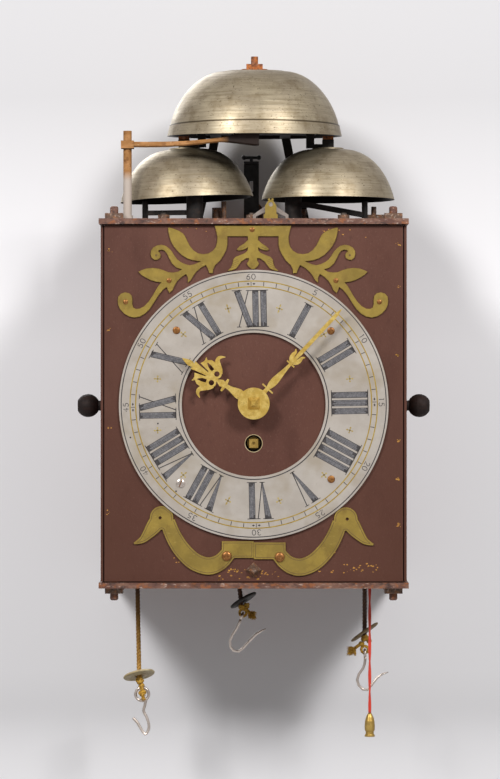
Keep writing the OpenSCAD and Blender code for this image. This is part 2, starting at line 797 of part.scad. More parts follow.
module hour_hand() {
    tip = hour_hand_l;
    color("gold") place() rotate([0, hour_angle, 0]) difference() {
        union() {
            for (s = [0, 1]) mirror([s, 0, 0]) sheet(hour_hand_y, hand_t) hour_head();
            sheet(hour_hand_y, hand_t) {
            circle(r = 9);
            ribbon([[0, 6, 7], [0, 12, 8], [0, 15, 8.2], [0, 19, 6.2], [0, 23, 4], [0, 27, 3.2]]);
            polygon([[0, 26.2], [5.7, 27.2], [5.7, 28.8], [0, 29.6], [-5.7, 28.8], [-5.7, 27.2]]);
            polygon([[2, 28.5], [3.1, 31], [1.2, 35], [1.2, 41], [-1.2, 41], [-1.2, 35], [-3.1, 31],
                [-2, 28.5]]);
            polygon([[0.9, 38], [1.9, 48], [2.9, 55], [3.8, tip - 10.4], [1.8, tip - 11.4],
                [2.5, tip - 7.6], [1.5, tip - 3.8], [0, tip], [-1.5, tip - 3.8], [-2.5, tip - 7.6],
                [-1.8, tip - 11.4], [-3.8, tip - 10.4], [-2.9, 55], [-1.9, 48], [-0.9, 38]]);
            }
        }
        shaft(centre_at, hour_hand_y - past, hand_t + 2 * past, cannon_pipe_d / 2 + 2 * running);
    }
}

module minute_hand() {
    color("gold") place() rotate([0, minute_angle, 0]) difference() {
        union() {
            for (s = [0, 1]) mirror([s, 0, 0]) sheet(minute_hand_y, hand_t)
                ribbon([[1, 45.4, 2], [2.6, 48, 3.6], [3.6, 51, 3.4], [3.6, 54, 2.2], [5.2, 56, 0.8]]);
            sheet(minute_hand_y, hand_t) {
            circle(r = 9);
            ribbon([[0, 6, 4.4], [0, 12, 3.8], [0, 16.7, 3.2], [0, 18.4, 4], [0, 21.4, 5.6],
                [0, 25.7, 6.2], [0, 31, 5], [0, 37, 3.4], [0, 44.2, 2.2], [0, 47, 2.6]]);
            translate([-5.7, 16]) square([11.4, 1.3]);
            translate([-4, 43.6]) square([8, 1.2]);
            polygon([[1, 46], [1.7, 56], [1.5, minute_hand_l - 6], [0.2, minute_hand_l],
                [-0.2, minute_hand_l], [-1.5, minute_hand_l - 6], [-1.7, 56], [-1, 46]]);
            }
        }
        shaft(centre_at, minute_hand_y - past, hand_t + 2 * past, arbor_r + 2 * running);
    }
}

module hand_collet() {
    color("gold") place() difference() {
        union() {
            shaft(centre_at, collet_y, 2, collet_d / 2);
            translate([0, collet_y, 0]) rotate([90, 0, 0]) rotate(45)
                cylinder(h = 4.4, r1 = collet_nut / sqrt(2), r2 = 2.4, $fn = 4);
            shaft(centre_at, collet_y - 5.2, 1.2, 1.2);
        }
        shaft(centre_at, collet_y - 2.4, 8, arbor_r);
    }
}

module hour_wheel() {
    color("goldenrod") place() difference() {
        union() {
            wheel(centre_at, hour_wheel_y, hour_teeth, hour_module, hour_wheel_phase, 9);
            shaft(centre_at, hour_hand_y + hand_t, hour_wheel_y + wheel_t - hour_hand_y - hand_t,
                hour_pipe_d / 2);
        }
        shaft(centre_at, hour_hand_y, 40, cannon_pipe_d / 2 + running);
    }
}

module cannon_pinion() {
    color("goldenrod") place() difference() {
        union() {
            translate([0, 0, 0]) sheet(cannon_y, 4) teeth(cannon_teeth, motion_module, 0);
            shaft(centre_at, minute_hand_y + hand_t, cannon_y - minute_hand_y - hand_t + past,
                cannon_pipe_d / 2);
        }
        shaft(centre_at, minute_hand_y, 50, arbor_r);
    }
}

motion_stud_r = 2;

module minute_wheel() {
    color("goldenrod") place() difference() {
        union() {
            wheel(motion_at, cannon_y + 0.5, minute_teeth, motion_module, minute_wheel_phase, 5);
            translate([motion_at[0], 0, motion_at[1]]) sheet(hour_wheel_y - 1, 5)
                teeth(minute_leaves, hour_module, 0);
            shaft(motion_at, hour_wheel_y + 1, front_bar_y - hour_wheel_y - 1 - air, 3.4);
        }
        shaft(motion_at, hour_wheel_y - 5, 30, motion_stud_r + running);
    }
}

// An upright iron bar that holds the pivots of one train
module bar(left, right, stud, y) {
    translate([left, y, bottom_z]) cube([right - left, bar_t, case_h]);
    upright([stud, y + bar_t / 2], bottom_face, plate_t + 2, bar_stud_r - running);
    upright([stud, y + bar_t / 2], top_z - 2, plate_t + 8, bar_stud_r - running);
}

module movement_bars() {
    bearings = [[centre_at, arbor_r], [second_at, arbor_r], [third_at, arbor_r],
        [escape_at, arbor_r]];
    side_bearings = [[side_drum_z, drum_arbor_r], [pin_wheel_z, arbor_r], [fly_z, arbor_r]];
    color("dimgray") place() {
        difference() {
            union() for (y = [front_bar_y, rear_bar_y]) {
                bar(-going_bar_left, going_bar_right, going_stud_x, y);
                for (x = [-side_train_x, side_train_x]) bar(x - bar_w / 2, x + bar_w / 2, x, y);
            }
            for (b = bearings) shaft(b[0], front_bar_y - past, 100, b[1] + running);
            shaft(great_at, front_bar_y - past, bar_t + 2 * past, winding_r + running);
            shaft(great_at, rear_bar_y - past, bar_t + 2 * past, drum_arbor_r + running);
            for (s = [-1, 1]) for (b = side_bearings)
                shaft([s * side_train_x, b[0]], front_bar_y - past, 100, b[1] + running);
        }
        shaft(motion_at, hour_wheel_y - 3, front_bar_y - hour_wheel_y + 3, motion_stud_r);
        shaft([lever_pivot_x, lever_z], front_bar_y + bar_t, pull_y + 8 - front_bar_y - bar_t, motion_stud_r);
        // Shelves that carry the lower ends of the quarter hammers' arbors
        for (at = [left_arbor_at, right_arbor_at]) difference() {
            translate([min(at[0] - 6, sign(at[0]) * side_train_x - bar_w / 2), front_bar_y + bar_t, shelf_z])
                cube([abs(at[0]) - side_train_x + 6 + bar_w / 2, at[1] - front_bar_y + 3, 4]);
            upright(at, shelf_z - past, 4 + 2 * past, quarter_arbor_d / 2 + running);
        }
    }
}

module great_wheel() {
    color("goldenrod") place() difference() {
        wheel(great_at, great_y, great_teeth, great_module, great_phase, 8);
        shaft(great_at, great_y - past, wheel_t + 2 * past, drum_arbor_r + running);
    }
}

ratchet_r = 15;
ratchet_teeth = 18;

// A rope drum between two flanges
module drum(at, d) {
    shaft(at, drum_y, drum_l + 2 * flange_t, d / 2);
    for (y = [drum_y, drum_y + drum_l + flange_t])
        shaft(at, y, flange_t, d / 2 + flange_rise);
}

module going_drum() {
    ratchet_y = drum_y + drum_l + 2 * flange_t;
    color("goldenrod") place() {
        drum(great_at, drum_d);
        shaft(great_at, 24, bar_back - 24, drum_arbor_r);
        shaft(great_at, 22, drum_y - 22, winding_r);
        difference() {
            translate([-winding_square / 2, sheet_t + 1, great_at[1] - winding_square / 2])
                cube([winding_square, 22 - sheet_t - 1, winding_square]);
            shaft(great_at, sheet_t, 4, 1.2);
        }
        translate([great_at[0], 0, great_at[1]]) sheet(ratchet_y, great_y - ratchet_y - air)
            polygon([for (i = [0:ratchet_teeth - 1]) for (k = [0, 1])
                let(a = (i + 0.98 * k) * 360 / ratchet_teeth, r = ratchet_r - 2.4 * k)
                [r * sin(a), r * cos(a)]]);
    }
}

module going_click() {
    click_y = drum_y + drum_l + 2 * flange_t + 0.6;
    click_r = ratchet_r + air;
    color("silver") place() translate([great_at[0], 0, great_at[1]]) {
        sheet(click_y, great_y - click_y) difference() {
            polygon([[-1, click_r], [1.6, click_r + 0.2], [8, ratchet_r + 1], [12.4, ratchet_r],
                [14, ratchet_r + 4], [10, ratchet_r + 6], [3, ratchet_r + 4]]);
            translate([11, ratchet_r + 3]) circle(r = 1.2);
        }
        shaft([11, ratchet_r + 3], click_y - 0.6, great_y - click_y + 0.6, 1.2);
    }
}

module centre_wheel() {
    color("goldenrod") place() {
        wheel(centre_at, centre_wheel_y, centre_teeth, centre_module, 0, 6);
        pinion(centre_at, great_y - pinion_over, centre_leaves, great_module, centre_phase);
        shaft(centre_at, collet_y - 2, bar_back - collet_y + 2, arbor_r - 0.04);
    }
}

// A wheel and a pinion on one arbor between the front and rear bars
module arbor(at, front) {
    shaft(at, front, bar_back - front, arbor_r);
}

module second_wheel() {
    color("goldenrod") place() {
        wheel(second_at, second_wheel_y, second_teeth, second_module, 0, 6);
        pinion(second_at, centre_wheel_y - pinion_over, second_leaves, centre_module, second_phase);
        arbor(second_at, front_bar_y);
    }
}

module third_wheel() {
    color("goldenrod") place() {
        wheel(third_at, third_wheel_y, third_teeth, third_module, 0, 6);
        pinion(third_at, second_wheel_y - pinion_over, third_leaves, second_module, third_phase);
        arbor(third_at, front_bar_y);
    }
}

module escape_wheel() {
    r = escape_d / 2;
    color("goldenrod") place() {
        translate([escape_at[0], 0, escape_at[1]]) sheet(escape_wheel_y, wheel_t) difference() {
            polygon([for (i = [0:escape_teeth - 1]) for (k = [[0, r], [0.12, r], [0.5, r - 4], [0.86, r - 4]])
                let(a = (i + k[0]) * 360 / escape_teeth)
                [k[1] * sin(a), k[1] * cos(a)]]);
            difference() {
                circle(r = r - 7);
                circle(r = 5);
                for (a = [0, 90]) rotate(a) square([escape_d, 3], center = true);
            }
        }
        pinion(escape_at, third_wheel_y - pinion_over, escape_leaves, third_module, escape_phase);
        arbor(escape_at, escape_wheel_y);
    }
}

module anchor() {
    w = anchor_arm_w;
    s = anchor_half_span;
    top = anchor_rise + top_face;
    bend = top - 8;
    color("silver") place() {
        sheet(anchor_y, anchor_t) {
            translate([anchor_x, top]) circle(r = 4);
            for (m = [0, 1]) translate([anchor_x, 0]) mirror([m, 0]) {
                polygon([[-1, top + w], [1, top + w - 1], [s + w / 2, bend], [s + w / 2, bend - 4],
                    [s - w / 2, bend - 4], [s - w / 2, bend - 1.4], [-1, top - 3]]);
                polygon([[s - w / 2, bend - 3], [s + w / 2, bend - 3], [s + w / 2, pallet_z + 6],
                    [s + 1.4, pallet_z], [s - 2.4, pallet_z + 3.2], [s - w / 2, pallet_z + 7]]);
            }
        }
        shaft([anchor_x, top], cock_y + 1, rear_cock_y + rear_cock_t - cock_y - 1, anchor_arbor_r);
    }
}

module crutch() {
    fork_z = 96;
    color("dimgray") place() difference() {
        sheet(crutch_y, crutch_t) {
            translate([anchor_x, anchor_z]) circle(r = 4.4);
            ribbon([[anchor_x, anchor_z, 4], [anchor_x, 146, 3.6], [anchor_x - 2, 134, 3.4],
                [rod_x + 3, 112, 3.4], [rod_x, fork_z + 4, 5]]);
            translate([rod_x, 0]) polygon([[-5, fork_z - 8], [-2.6, fork_z - 8], [-2.6, fork_z + 1],
                [2.6, fork_z + 1], [2.6, fork_z - 8], [5, fork_z - 8], [5, fork_z + 4], [0, fork_z + 6],
                [-5, fork_z + 4]]);
        }
        shaft([anchor_x, anchor_z], crutch_y - past, crutch_t + 2 * past, anchor_arbor_r);
    }
}

module anchor_cocks() {
    color("goldenrod") place() difference() {
        union() {
            sheet(cock_y, cock_t) translate([anchor_x, 0]) polygon([[-5.8, top_face], [5.8, top_face],
                [5.8, top_face + 3.6], [4.7, top_face + 4], [4.7, top_face + 11], [1.6, anchor_z + 3.4],
                [-1.6, anchor_z + 3.4], [-4.7, top_face + 11], [-4.7, top_face + 4],
                [-5.8, top_face + 3.6]]);
            for (x = [-1.4, 1.4])
                translate([anchor_x + x, cock_y + cock_t / 2, anchor_z + 4]) sphere(r = 1.2);
            sheet(rear_cock_y, rear_cock_t) translate([anchor_x, 0]) polygon([[-6, top_face],
                [6, top_face], [4, anchor_z + 4], [-4, anchor_z + 4]]);
        }
        shaft([anchor_x, anchor_z], cock_y - past, rear_cock_y + rear_cock_t - cock_y + 2 * past,
            anchor_arbor_r + running);
    }
}

module suspension_post() {
    post_half = 6.5;
    cap_z = 206;
    cross_z = 211;
    color("black") place() {
        difference() {
            translate([rod_x - post_half, post_y, top_face]) cube([2 * post_half, 8, cap_z - top_face]);
            translate([rod_x - 1.5, post_y - past, 182]) cube([3, 8 + 2 * past, 9]);
        }
        translate([rod_x - post_half, crutch_y - 1, cap_z]) cube([2 * post_half, post_y + 9 - crutch_y, 1.6]);
        translate([rod_x - 1.4, crutch_y, cap_z + 1]) cube([2.8, 4, cross_z - cap_z]);
        translate([rod_x - post_half, crutch_y + 2, cross_z]) rotate([0, 90, 0])
            cylinder(h = 2 * post_half, r = 1.3);
        for (s = [-1, 1]) translate([rod_x + s * post_half, crutch_y + 2, cross_z]) sphere(r = 2.1);
    }
}

// One side's drum with its great wheel; s is -1 on the left and 1 on the right
module side_drum(s, d) {
    at = [s * side_train_x, side_drum_z];
    drum(at, d);
    wheel(at, great_y, side_great_teeth, side_module, 0, 8);
    shaft(at, front_bar_y, bar_back - front_bar_y, drum_arbor_r);
}

module side_pin_wheel(s) {
    at = [s * side_train_x, pin_wheel_z];
    phase = meshed(0, side_great_teeth, [at[0], side_drum_z], at, pin_leaves);
    wheel(at, pin_wheel_y, pin_wheel_teeth, pin_module, 0, 6, rim = 8);
    pinion(at, great_y - pinion_over, pin_leaves, side_module, phase);
    arbor(at, front_bar_y);
    for (a = [22.5:45:359]) shaft(at + towards(a, pin_wheel_teeth * pin_module / 2 - 5.4),
        pin_wheel_y + wheel_t - past, 3 + past, 1.2);
}

module side_fly(s) {
    at = [s * side_train_x, fly_z];
    phase = meshed(0, pin_wheel_teeth, [at[0], pin_wheel_z], at, fly_leaves);
    pinion(at, pin_wheel_y - pinion_over, fly_leaves, pin_module, phase);
    arbor(at, front_bar_y);
    shaft(at, 50, 30, 4);
    translate([at[0] - fly_r, 52, at[1] - 0.6]) cube([2 * fly_r, 26, 1.2]);
}

module strike_drum() {
    color("goldenrod") place() side_drum(-1, strike_drum_d);
}

module strike_pin_wheel() {
    color("goldenrod") place() side_pin_wheel(-1);
}

module strike_fly() {
    color("silver") place() side_fly(-1);
}

module quarter_drum() {
    color("goldenrod") place() side_drum(1, quarter_drum_d);
}

module quarter_pin_wheel() {
    color("goldenrod") place() side_pin_wheel(1);
}

module quarter_fly() {
    color("silver") place() side_fly(1);
}

// A flat arm of even width between two places seen from above
module arm(a, b, w) {
    u = (b - a) / norm(b - a);
    v = [-u[1], u[0]] * w / 2;
    polygon([a + v, a - v, b - v, b + v]);
}

module hour_hammer() {
    arm_z = 212.4;
    color("sienna") place() {
        upright(hour_arbor_at, bottom_face, 225.4 - bottom_face, hour_arbor_d / 2);
        upright(hour_arbor_at, top_face + air, 3.4, 4.6);
        square_hole(hour_arbor_at[0], hour_arbor_at[1], 10.6, 210.8, 6.4);
        slab(arm_z, 4.6) arm(hour_arbor_at, hour_head_at, 4.4);
        upright(hour_head_at, arm_z - 1.4, 20, hour_head_d / 2);
        slab(pin_wheel_z - 2.5, 5) polygon([[-107.5, 26], [-104.2, 26], [-104.2, 37.6], [-99.4, 37.6],
            [-99.4, 40.4], [-107.5, 40.4]]);
    }
}

module left_hammer() {
    color("dimgray") place() {
        upright(left_arbor_at, shelf_z, 168 - shelf_z, quarter_arbor_d / 2);
        slab(156.4, 4) arm(left_arbor_at, left_head_at, 4);
        upright(left_head_at, top_face + 2, 33, quarter_head_d / 2);
        slab(60, 4) arm(left_arbor_at, left_arbor_at + [4, 16], 4);
    }
}

module right_hammer() {
    color("dimgray") place() {
        upright(right_arbor_at, shelf_z, 168 - shelf_z, quarter_arbor_d / 2);
        intersection() {
            slab(top_face + 1, 20) arm(right_arbor_at, right_head_at, 4);
            sheet(20, 60) polygon([[right_arbor_at[0] + 4, 153.6], [46, 163], [right_head_at[0], 163],
                [right_head_at[0], 167.6], [46, 167.6], [right_arbor_at[0] + 4, 158.2]]);
        }
        upright(right_head_at, top_face + 2, 33, quarter_head_d / 2);
        slab(60, 4) arm(right_arbor_at, right_arbor_at + [-4, 16], 4);
    }
}

// Half widths of the bell stand at its foot and its top
stand_foot_x = 47.2;
stand_knee_x = 36.6;
stand_knee_z = 200;
stand_top_x = 22;
stand_top_y = 98;
bridge_z = hour_crown_z - bell_t - 9;
bridge_t = 4;
yoke_z = hour_rim_z + 1;
yoke_t = 3;
hanger_step = 15;
hanger_block = 7;

// A square bar between two points in space
module strut(a, b, w, t) {
    d = b - a;
    l = norm(d);
    turn = atan2(d[1], d[0]);
    tilt = acos(d[2] / l);
    translate(a) rotate([0, 0, turn]) rotate([0, tilt, 0]) rotate([0, 0, -turn])
        translate([-w / 2, -t / 2, 0]) cube([w, t, l]);
}

// A hooked iron that carries a small bell by its crown, drawn about the bell's own line
module hanger(step) {
    difference() {
        union() {
            translate([step - 3.4, -4, small_crown_z]) cube([6.8, 8, yoke_z - small_crown_z + 1.4]);
            translate([min(0, step) - 3.4, -4, small_crown_z]) cube([abs(step) + 6.8, 8, 3.2]);
            translate([-4.8, -4.8, small_crown_z]) cube([9.6, 9.6, hanger_block]);
        }
        upright([0, 0], small_crown_z - past, 20, bell_bolt_d / 2);
    }
}

module bell_stand() {
    right_top = stand_x + stand_top_x;
    color("darkslategray") place() difference() {
        union() {
            for (s = [-1, 1]) {
                foot = [stand_x + s * stand_foot_x, stand_y, top_face + 1];
                knee = [stand_x + s * stand_knee_x, stand_y, stand_knee_z];
                head = [stand_x + s * stand_top_x, stand_top_y, bridge_z - 2];
                translate([foot[0] - 9, stand_y - 6, top_face]) cube([18, 12, 3]);
                strut(foot, knee, bar_s, 5);
                strut(knee - [0, 0, 3], head, bar_s - 1.6, 4);
            }
            lean_hour() translate([stand_x - stand_top_x - 4.5 - hour_bell_x, -7, bridge_z - bridge_t])
                cube([2 * stand_top_x + 9, stand_top_y - hour_bell_y + 9, bridge_t]);
            // The yoke with the small bells' hangers
            for (s = [-1, 1]) translate([stand_x + s * 29.6 - 4.5, hour_bell_y - 8, yoke_z])
                cube([9, stand_y - 16 - hour_bell_y + 8, yoke_t]);
            translate([-left_bell_x + hanger_step - 5, hour_bell_y - 9, yoke_z])
                cube([right_bell_x + left_bell_x - 2 * hanger_step + 10, 13, yoke_t]);
            lean_left() hanger(hanger_step);
            translate([right_bell_x, small_bell_y, 0]) hanger(-hanger_step);
        }
        lean_hour() upright([0, 0], bridge_z - 10, 30, bell_bolt_d / 2);
    }
}

// Outer line of the hour bell, from the crown's edge down to the ledge above the lip
function hour_line(t) = pulled([28, hour_bell_h - 0.5], [48, hour_bell_h - 1.2],
    [hour_bell_r - 7.2, 31], [hour_bell_r - 2.5, 9], t);
// Outer line of a small bell, from the crown's edge down to the rim
function small_line(t) = pulled([15, small_bell_h - 1.4], [34, small_bell_h - 1.6],
    [small_bell_r - 6, 25], [small_bell_r, 0], t);

steps = 14;
hour_curve = [for (i = [0:steps]) hour_line(i / steps)];
small_curve = [for (i = [0:steps]) small_line(i / steps)];

// The same line moved into the metal
function inside(p) = [for (i = [0:len(p) - 1]) let(u = along(p, i)) p[i] - bell_t * [-u[1], u[0]]];

hour_inner = inside(hour_curve);
small_inner = inside(small_curve);
hour_ceiling = hour_inner[0][1];
small_ceiling = small_inner[0][1];

module hour_shell() {
    inner = hour_inner;
    rotate_extrude($fn = 96) polygon([
        [bell_bolt_d / 2, hour_bell_h], [25.6, hour_bell_h], [26, hour_bell_h - 0.5],
        each hour_curve,
        [hour_bell_r - 1.9, 9], [hour_bell_r - 0.6, 3], [hour_bell_r, 0], [hour_bell_r - bell_t - 1, 0],
        [inner[steps][0], 8],
        for (i = [steps - 1:-1:0]) inner[i],
        [bell_bolt_d / 2, hour_ceiling]]);
}

module small_shell() {
    inner = small_inner;
    rotate_extrude($fn = 96) polygon([
        [bell_bolt_d / 2, small_bell_h], [13, small_bell_h], [13.6, small_bell_h - 1.3],
        each small_curve,
        [small_bell_r - bell_t, 0],
        for (i = [steps - 1:-1:0]) inner[i],
        [bell_bolt_d / 2, small_ceiling]]);
}

module lean_hour() {
    translate([hour_bell_x, hour_bell_y, hour_crown_z]) rotate([hour_bell_lean, 0, 0])
        translate([0, 0, -hour_crown_z]) children();
}

module lean_left() {
    translate([-left_bell_x, small_bell_y, small_crown_z]) rotate([0, -left_bell_lean, 0])
        translate([0, 0, -small_crown_z]) children();
}

module hour_bell() {
    color("darkgray") place() lean_hour() translate([0, 0, hour_rim_z]) hour_shell();
}

module left_bell() {
    color("darkgray") place() lean_left() translate([0, 0, small_rim_z]) small_shell();
}

module right_bell() {
    color("darkgray") place() translate([right_bell_x, small_bell_y, small_rim_z]) small_shell();
}

// The bolt of a small bell with its head inside and its nut on the hanger
module small_bolt() {
    ceiling = small_rim_z + small_ceiling;
    upright([0, 0], ceiling - 4, small_crown_z + hanger_block + 7 - ceiling, bell_bolt_d / 2);
    upright([0, 0], ceiling - 4, 4, 5);
    translate([0, 0, small_crown_z + hanger_block]) nut(9, 3, bell_bolt_d);
}

module bell_bolts() {
    ceiling = hour_rim_z + hour_ceiling;
    color("sienna") place() {
        lean_hour() {
            upright([0, 0], bridge_z - 9, hour_crown_z + 12.3 - bridge_z + 9, bell_bolt_d / 2);
            translate([0, 0, bridge_z - bridge_t - 4]) nut(11, 4, bell_bolt_d);
            upright([0, 0], bridge_z, ceiling - bridge_z, 8);
            upright([0, 0], hour_crown_z, 1.6, 11);
            translate([0, 0, hour_crown_z + 1.6]) nut(13.8, 4.2, bell_bolt_d);
        }
        lean_left() small_bolt();
        translate([right_bell_x, small_bell_y, 0]) small_bolt();
    }
}

module strike_rope() {
    color("goldenrod") place() tube(spline(strike_route), rope_d / 2);
}

module going_rope() {
    color("goldenrod") place() tube(spline(going_route), rope_d / 2);
}

module quarter_rope() {
    color("saddlebrown") place() tube(spline(quarter_route), rope_d / 2);
}

module rope_discs() {
    color("khaki") place() for (d = discs) translate([d[0], rope_y, d[1]]) rotate([0, -d[3], 0])
        difference() {
            translate([0, 0, -disc_t / 2]) cylinder(h = disc_t, d = disc_d * d[2]);
            translate([0, 0, -disc_t]) cylinder(h = 2 * disc_t, r = rope_d);
        }
}

// A knot that ends in a loop round the hook's eye, and a loose end that points down at a slant
module knot(at, pivot, slant, loose) {
    loop_r = hook_d / 2 + rope_d / 2 + air;
    translate([at[0], rope_y, at[1]]) {
        sphere(r = rope_d * 1.2);
        rotate([-55, slant, 0]) translate([0, 0, -loose]) cylinder(h = loose, r1 = rope_d, r2 = rope_d / 2);
    }
    translate([(at[0] + pivot[0]) / 2, rope_y, (at[1] + pivot[1] + loop_r) / 2])
        sphere(r = rope_d * 0.95);
    translate([pivot[0], rope_y, pivot[1]]) rotate([0, 90, 0])
        rotate_extrude() translate([loop_r, 0]) circle(d = rope_d * 0.8);
}

module rope_knots() {
    color("goldenrod") place() {
        knot([-96.4, -233], left_pivot, 20, 9);
        knot([-10.3, -171], centre_pivot, -50, 11);
        knot([93.5, -198], right_pivot, 42, 14);
    }
}

// A bent wire hook that swings on the loop of its knot
module hook(pivot, wire) {
    translate([pivot[0], rope_y, pivot[1]]) {
        translate([0, 0, -eye_r]) rotate([90, 0, 0])
            rotate_extrude() translate([eye_r, 0]) circle(d = hook_d, $fn = 16);
        tube([for (p = spline(wire, 3)) [p[0], 0, p[1]]], hook_d / 2);
    }
}

module left_hook() {
    color("silver") place() hook(left_pivot, left_wire);
}

module centre_hook() {
    color("silver") place() hook(centre_pivot, centre_wire);
}

module right_hook() {
    color("silver") place() hook(right_pivot, right_wire);
}

module pull_cord() {
    color("red") place() tube(spline(pull_route, 6), pull_cord_d / 2);
}

module pull_weight() {
    r = pull_weight_d / 2;
    l = pull_weight_l;
    color("goldenrod") place() translate([pull_x, pull_y, -258 - l]) rotate_extrude()
        polygon([[0, 0], [r, 0], [r, 1], [r - 0.9, 2.4], [r - 0.9, 4], [r - 0.1, 5.4], [r, 9],
            [r - 0.3, 13], [r - 1.2, l - 3.4], [r - 2.4, l - 0.8], [r - 3.2, l], [0, l]]);
}

lever_z = -124;
lever_pivot_x = 16;

module repeat_lever() {
    color("dimgray") place() difference() {
        union() {
            sheet(pull_y - 2, 4) polygon([[lever_pivot_x - 8, lever_z - 3], [lever_pivot_x + 10, lever_z - 4],
                [pull_x + 2, lever_z - 2.6], [pull_x + 2, lever_z + 0.4], [lever_pivot_x + 10, lever_z + 4],
                [lever_pivot_x - 8, lever_z + 3]]);
            shaft([lever_pivot_x, lever_z], pull_y - 5, 10, 4.6);
        }
        shaft([lever_pivot_x, lever_z], front_bar_y, 60, motion_stud_r + running);
    }
}

top_plate();
bottom_plate();
corner_posts();
frame_fixings();
front_plate();
back_plate();
wall_irons();
left_door();
right_door();
left_knob();
right_knob();
hinge_pins();
chapter_ring();
dial_rivets();
top_ornament();
left_scroll();
right_scroll();
hour_hand();
minute_hand();
hand_collet();
hour_wheel();
cannon_pinion();
minute_wheel();
movement_bars();
great_wheel();
going_drum();
going_click();
centre_wheel();
second_wheel();
third_wheel();
escape_wheel();
anchor();
crutch();
anchor_cocks();
suspension_post();
strike_drum();
strike_pin_wheel();
strike_fly();
quarter_drum();
quarter_pin_wheel();
quarter_fly();
hour_hammer();
left_hammer();
right_hammer();
bell_stand();
bell_bolts();
hour_bell();
left_bell();
right_bell();
strike_rope();
going_rope();
quarter_rope();
rope_discs();
rope_knots();
left_hook();
centre_hook();
right_hook();
pull_cord();
pull_weight();
repeat_lever();
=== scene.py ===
"""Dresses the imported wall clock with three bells: dial, engraving, ropes, finishes and a studio."""

import json
import math
import random

import bmesh
import bpy
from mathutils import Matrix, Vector

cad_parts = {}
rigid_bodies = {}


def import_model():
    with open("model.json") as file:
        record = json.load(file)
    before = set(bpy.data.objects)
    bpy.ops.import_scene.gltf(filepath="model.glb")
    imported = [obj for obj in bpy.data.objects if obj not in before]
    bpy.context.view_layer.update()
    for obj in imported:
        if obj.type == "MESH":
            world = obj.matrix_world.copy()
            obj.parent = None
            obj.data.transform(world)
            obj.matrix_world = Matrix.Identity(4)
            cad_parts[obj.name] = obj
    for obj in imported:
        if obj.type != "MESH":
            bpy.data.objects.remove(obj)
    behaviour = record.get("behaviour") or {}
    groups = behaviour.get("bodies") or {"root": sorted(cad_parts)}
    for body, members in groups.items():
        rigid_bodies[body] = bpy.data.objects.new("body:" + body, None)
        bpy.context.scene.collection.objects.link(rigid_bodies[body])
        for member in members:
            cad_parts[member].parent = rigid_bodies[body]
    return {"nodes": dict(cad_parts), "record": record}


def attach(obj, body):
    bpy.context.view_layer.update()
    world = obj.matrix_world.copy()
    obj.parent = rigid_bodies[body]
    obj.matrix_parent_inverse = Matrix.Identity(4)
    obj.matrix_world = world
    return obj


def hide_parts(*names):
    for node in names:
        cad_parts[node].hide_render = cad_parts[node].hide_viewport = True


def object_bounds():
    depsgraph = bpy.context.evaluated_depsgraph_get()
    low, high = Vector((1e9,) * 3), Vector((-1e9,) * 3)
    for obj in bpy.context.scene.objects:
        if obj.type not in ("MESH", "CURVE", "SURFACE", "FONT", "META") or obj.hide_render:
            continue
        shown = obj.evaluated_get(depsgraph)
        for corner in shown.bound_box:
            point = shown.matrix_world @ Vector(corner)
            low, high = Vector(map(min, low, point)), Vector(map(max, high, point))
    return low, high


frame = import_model()
CAD_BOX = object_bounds()

bl_info = {
    "name": "Three-bell wall clock",
    "version": (1, 0, 0),
    "blender": (4, 5, 0),
    "location": "View3D > Sidebar > Wall clock",
    "description": "Dial work, ropes, finishes and studio for an iron wall clock with three bells",
    "category": "Add Mesh",
}

# The source draws the clock about the middle of the dial, with y = 0 on the front plate's face,
# in millimetres. These are the steps from there to the hanging hole, which is the frame's origin.
FACE_TO_WALL = 164.5
DIAL_TO_HOOK = 166.0
CASE = "clock_body"
# How far the ring hangs below the dial's middle, and its turn in degrees, as in the photograph
RING_DROP = 1.0
RING_TURN = -1.25
# Front faces of the ring and the brass sheets, and the depth of the ropes
RING_FACE = -2.2
BRASS_FACE = -1.5
ROPE_Y = 72.0
# Engraved pieces stand this little in front of their sheet, and reach this far into it
PROUD = 0.05
SUNK = 0.2


def dial(x, y, z):
    """A point of the dial's own frame in millimetres, as a point of the clock's frame in metres."""
    return Vector((x, y - FACE_TO_WALL, z - DIAL_TO_HOOK)) / 1000


def around(clock_angle, across, out):
    """Across and up of a point that lies out from the ring's middle at an angle from the top."""
    a = math.radians(clock_angle)
    return (
        out * math.sin(a) + across * math.cos(a),
        out * math.cos(a) - across * math.sin(a) - RING_DROP,
    )


def spline(points, steps=4):
    """The smooth line of the source through its route points, steps pieces between two points."""
    p, line = [Vector(q) for q in points], []
    for i in range(len(p) - 1):
        a, b, c, d = p[max(i - 1, 0)], p[i], p[i + 1], p[min(i + 2, len(p) - 1)]
        for j in range(steps):
            t = j / steps
            line.append(
                0.5
                * (
                    2 * b
                    + (c - a) * t
                    + (2 * a - 5 * b + 4 * c - d) * t * t
                    + (3 * b - a - 3 * c + d) * t**3
                )
            )
    return line + [p[-1]]


def arc(middle, radii, start, end, count=10):
    """Points of a part of an ellipse, from start to end in degrees."""
    turn = [math.radians(start + (end - start) * i / count) for i in range(count + 1)]
    return [(middle[0] + radii[0] * math.cos(a), middle[1] + radii[1] * math.sin(a)) for a in turn]


